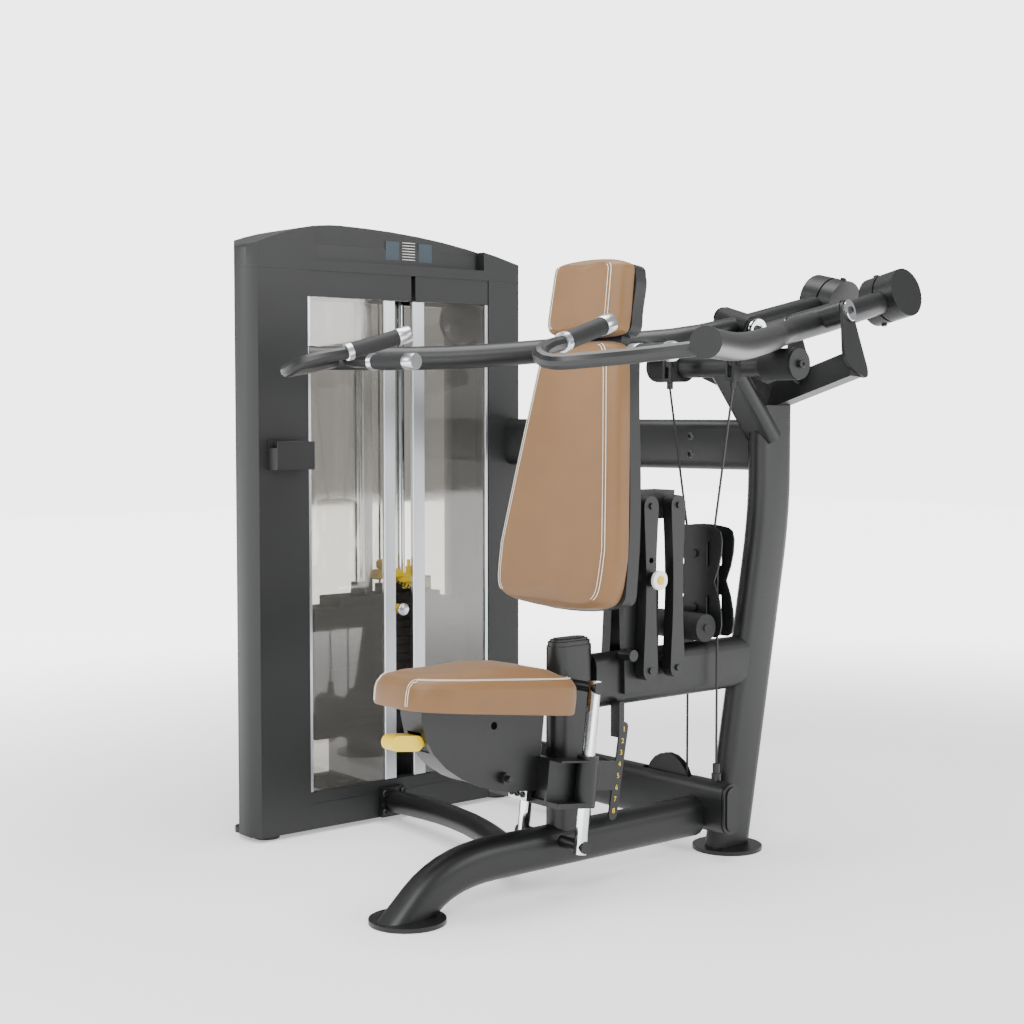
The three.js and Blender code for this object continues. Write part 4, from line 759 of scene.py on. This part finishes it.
class SHOULDERPRESS_OT_stage(bpy.types.Operator):
    """Builds the floor, the soft lights and the camera"""
    bl_idname = "shoulder_press.stage"
    bl_label = "Stage"

    def execute(self, context):
        build_stage(context.scene.shoulder_press)
        return {"FINISHED"}


def build_stage(look):
    """The floor, the world, four soft lights aimed at the machine's middle, and the camera."""
    scene = bpy.context.scene
    mesh = bpy.data.meshes.new("floor")
    corners = [(x * FLOOR_HALF, y * FLOOR_HALF, -0.0005) for x, y in ((-1, -1), (1, -1), (1, 1), (-1, 1))]
    mesh.from_pydata(corners, [], [(0, 1, 2, 3)])
    floor = bpy.data.objects.new("floor", mesh)
    scene.collection.objects.link(floor)
    mat, tree, shader = start_material("pale_floor_paint", "#f4f4f4", Roughness=0.7)
    place = grain(tree, shader, 6.0, 0.01)
    # The floor brightens evenly with distance, so that it meets the white backdrop without a line.
    away = add_node(tree, "ShaderNodeVectorMath", [("Vector", place.outputs["Object"])], operation="LENGTH")
    glow = add_node(tree, "ShaderNodeMapRange", [("Value", away.outputs["Value"])],
                    interpolation_type="SMOOTHSTEP", From_Min=1.4, From_Max=5.0,
                    To_Min=look.backdrop * 0.12, To_Max=look.backdrop * 0.94)
    shader.inputs["Emission Color"].default_value = (1, 1, 1, 1)
    tree.links.new(glow.outputs["Result"], shader.inputs["Emission Strength"])
    mesh.materials.append(mat)

    world = bpy.data.worlds.new("studio")
    world.use_nodes = True
    sky = world.node_tree.nodes["Background"]
    sky.inputs["Color"].default_value = (1, 1, 1, 1)
    path = add_node(world.node_tree, "ShaderNodeLightPath")
    level = add_node(world.node_tree, "ShaderNodeMapRange", [("Value", path.outputs["Is Camera Ray"])],
                     To_Min=look.fill_light, To_Max=look.backdrop)
    world.node_tree.links.new(level.outputs["Result"], sky.inputs["Strength"])
    scene.world = world
    for name, where, size, share in LIGHTS:
        data = bpy.data.lights.new(name + "_light", "AREA")
        data.energy, data.size = look.light_power * share, size
        lamp = bpy.data.objects.new(name + "_light", data)
        lamp.location = where
        lamp.rotation_euler = (Vector(LIGHT_AIM) - lamp.location).to_track_quat("-Z", "Y").to_euler()
        scene.collection.objects.link(lamp)

    camera_data = bpy.data.cameras.new("camera")
    camera_data.lens, camera_data.sensor_width = 61.17, 36.0
    camera = bpy.data.objects.new("camera", camera_data)
    camera.location = (2.998, -3.219, 1.110)
    camera.rotation_euler = (math.radians(86.645), 0.0, math.radians(50.1))
    scene.collection.objects.link(camera)
    scene.camera = camera


class SHOULDERPRESS_PT_panel(bpy.types.Panel):
    """Shows the machine's settings and build buttons in the sidebar"""
    bl_idname = "SHOULDERPRESS_PT_panel"
    bl_label = "Shoulder Press"
    bl_space_type = "VIEW_3D"
    bl_region_type = "UI"
    bl_category = "Shoulder Press"

    def draw(self, context):
        look = context.scene.shoulder_press
        for name in ("seat_thickness", "thread_rows", "frame_color", "tan_color", "light_power", "fill_light",
                     "backdrop"):
            self.layout.prop(look, name)
        for operator in OPERATORS:
            self.layout.operator(operator.bl_idname)


OPERATORS = (SHOULDERPRESS_OT_stage, SHOULDERPRESS_OT_finishes, SHOULDERPRESS_OT_seat, SHOULDERPRESS_OT_back,
             SHOULDERPRESS_OT_trim, SHOULDERPRESS_OT_tower)
CLASSES = (ShoulderPressLook, *OPERATORS, SHOULDERPRESS_PT_panel)


def register():
    for cls in CLASSES:
        bpy.utils.register_class(cls)
    bpy.types.Scene.shoulder_press = PointerProperty(type=ShoulderPressLook)


def unregister():
    del bpy.types.Scene.shoulder_press
    for cls in reversed(CLASSES):
        bpy.utils.unregister_class(cls)


def main():
    register()
    for operator in OPERATORS:
        group, name = operator.bl_idname.split(".")
        getattr(getattr(bpy.ops, group), name)()
    bpy.context.view_layer.update()


if __name__ == "__main__":
    main()
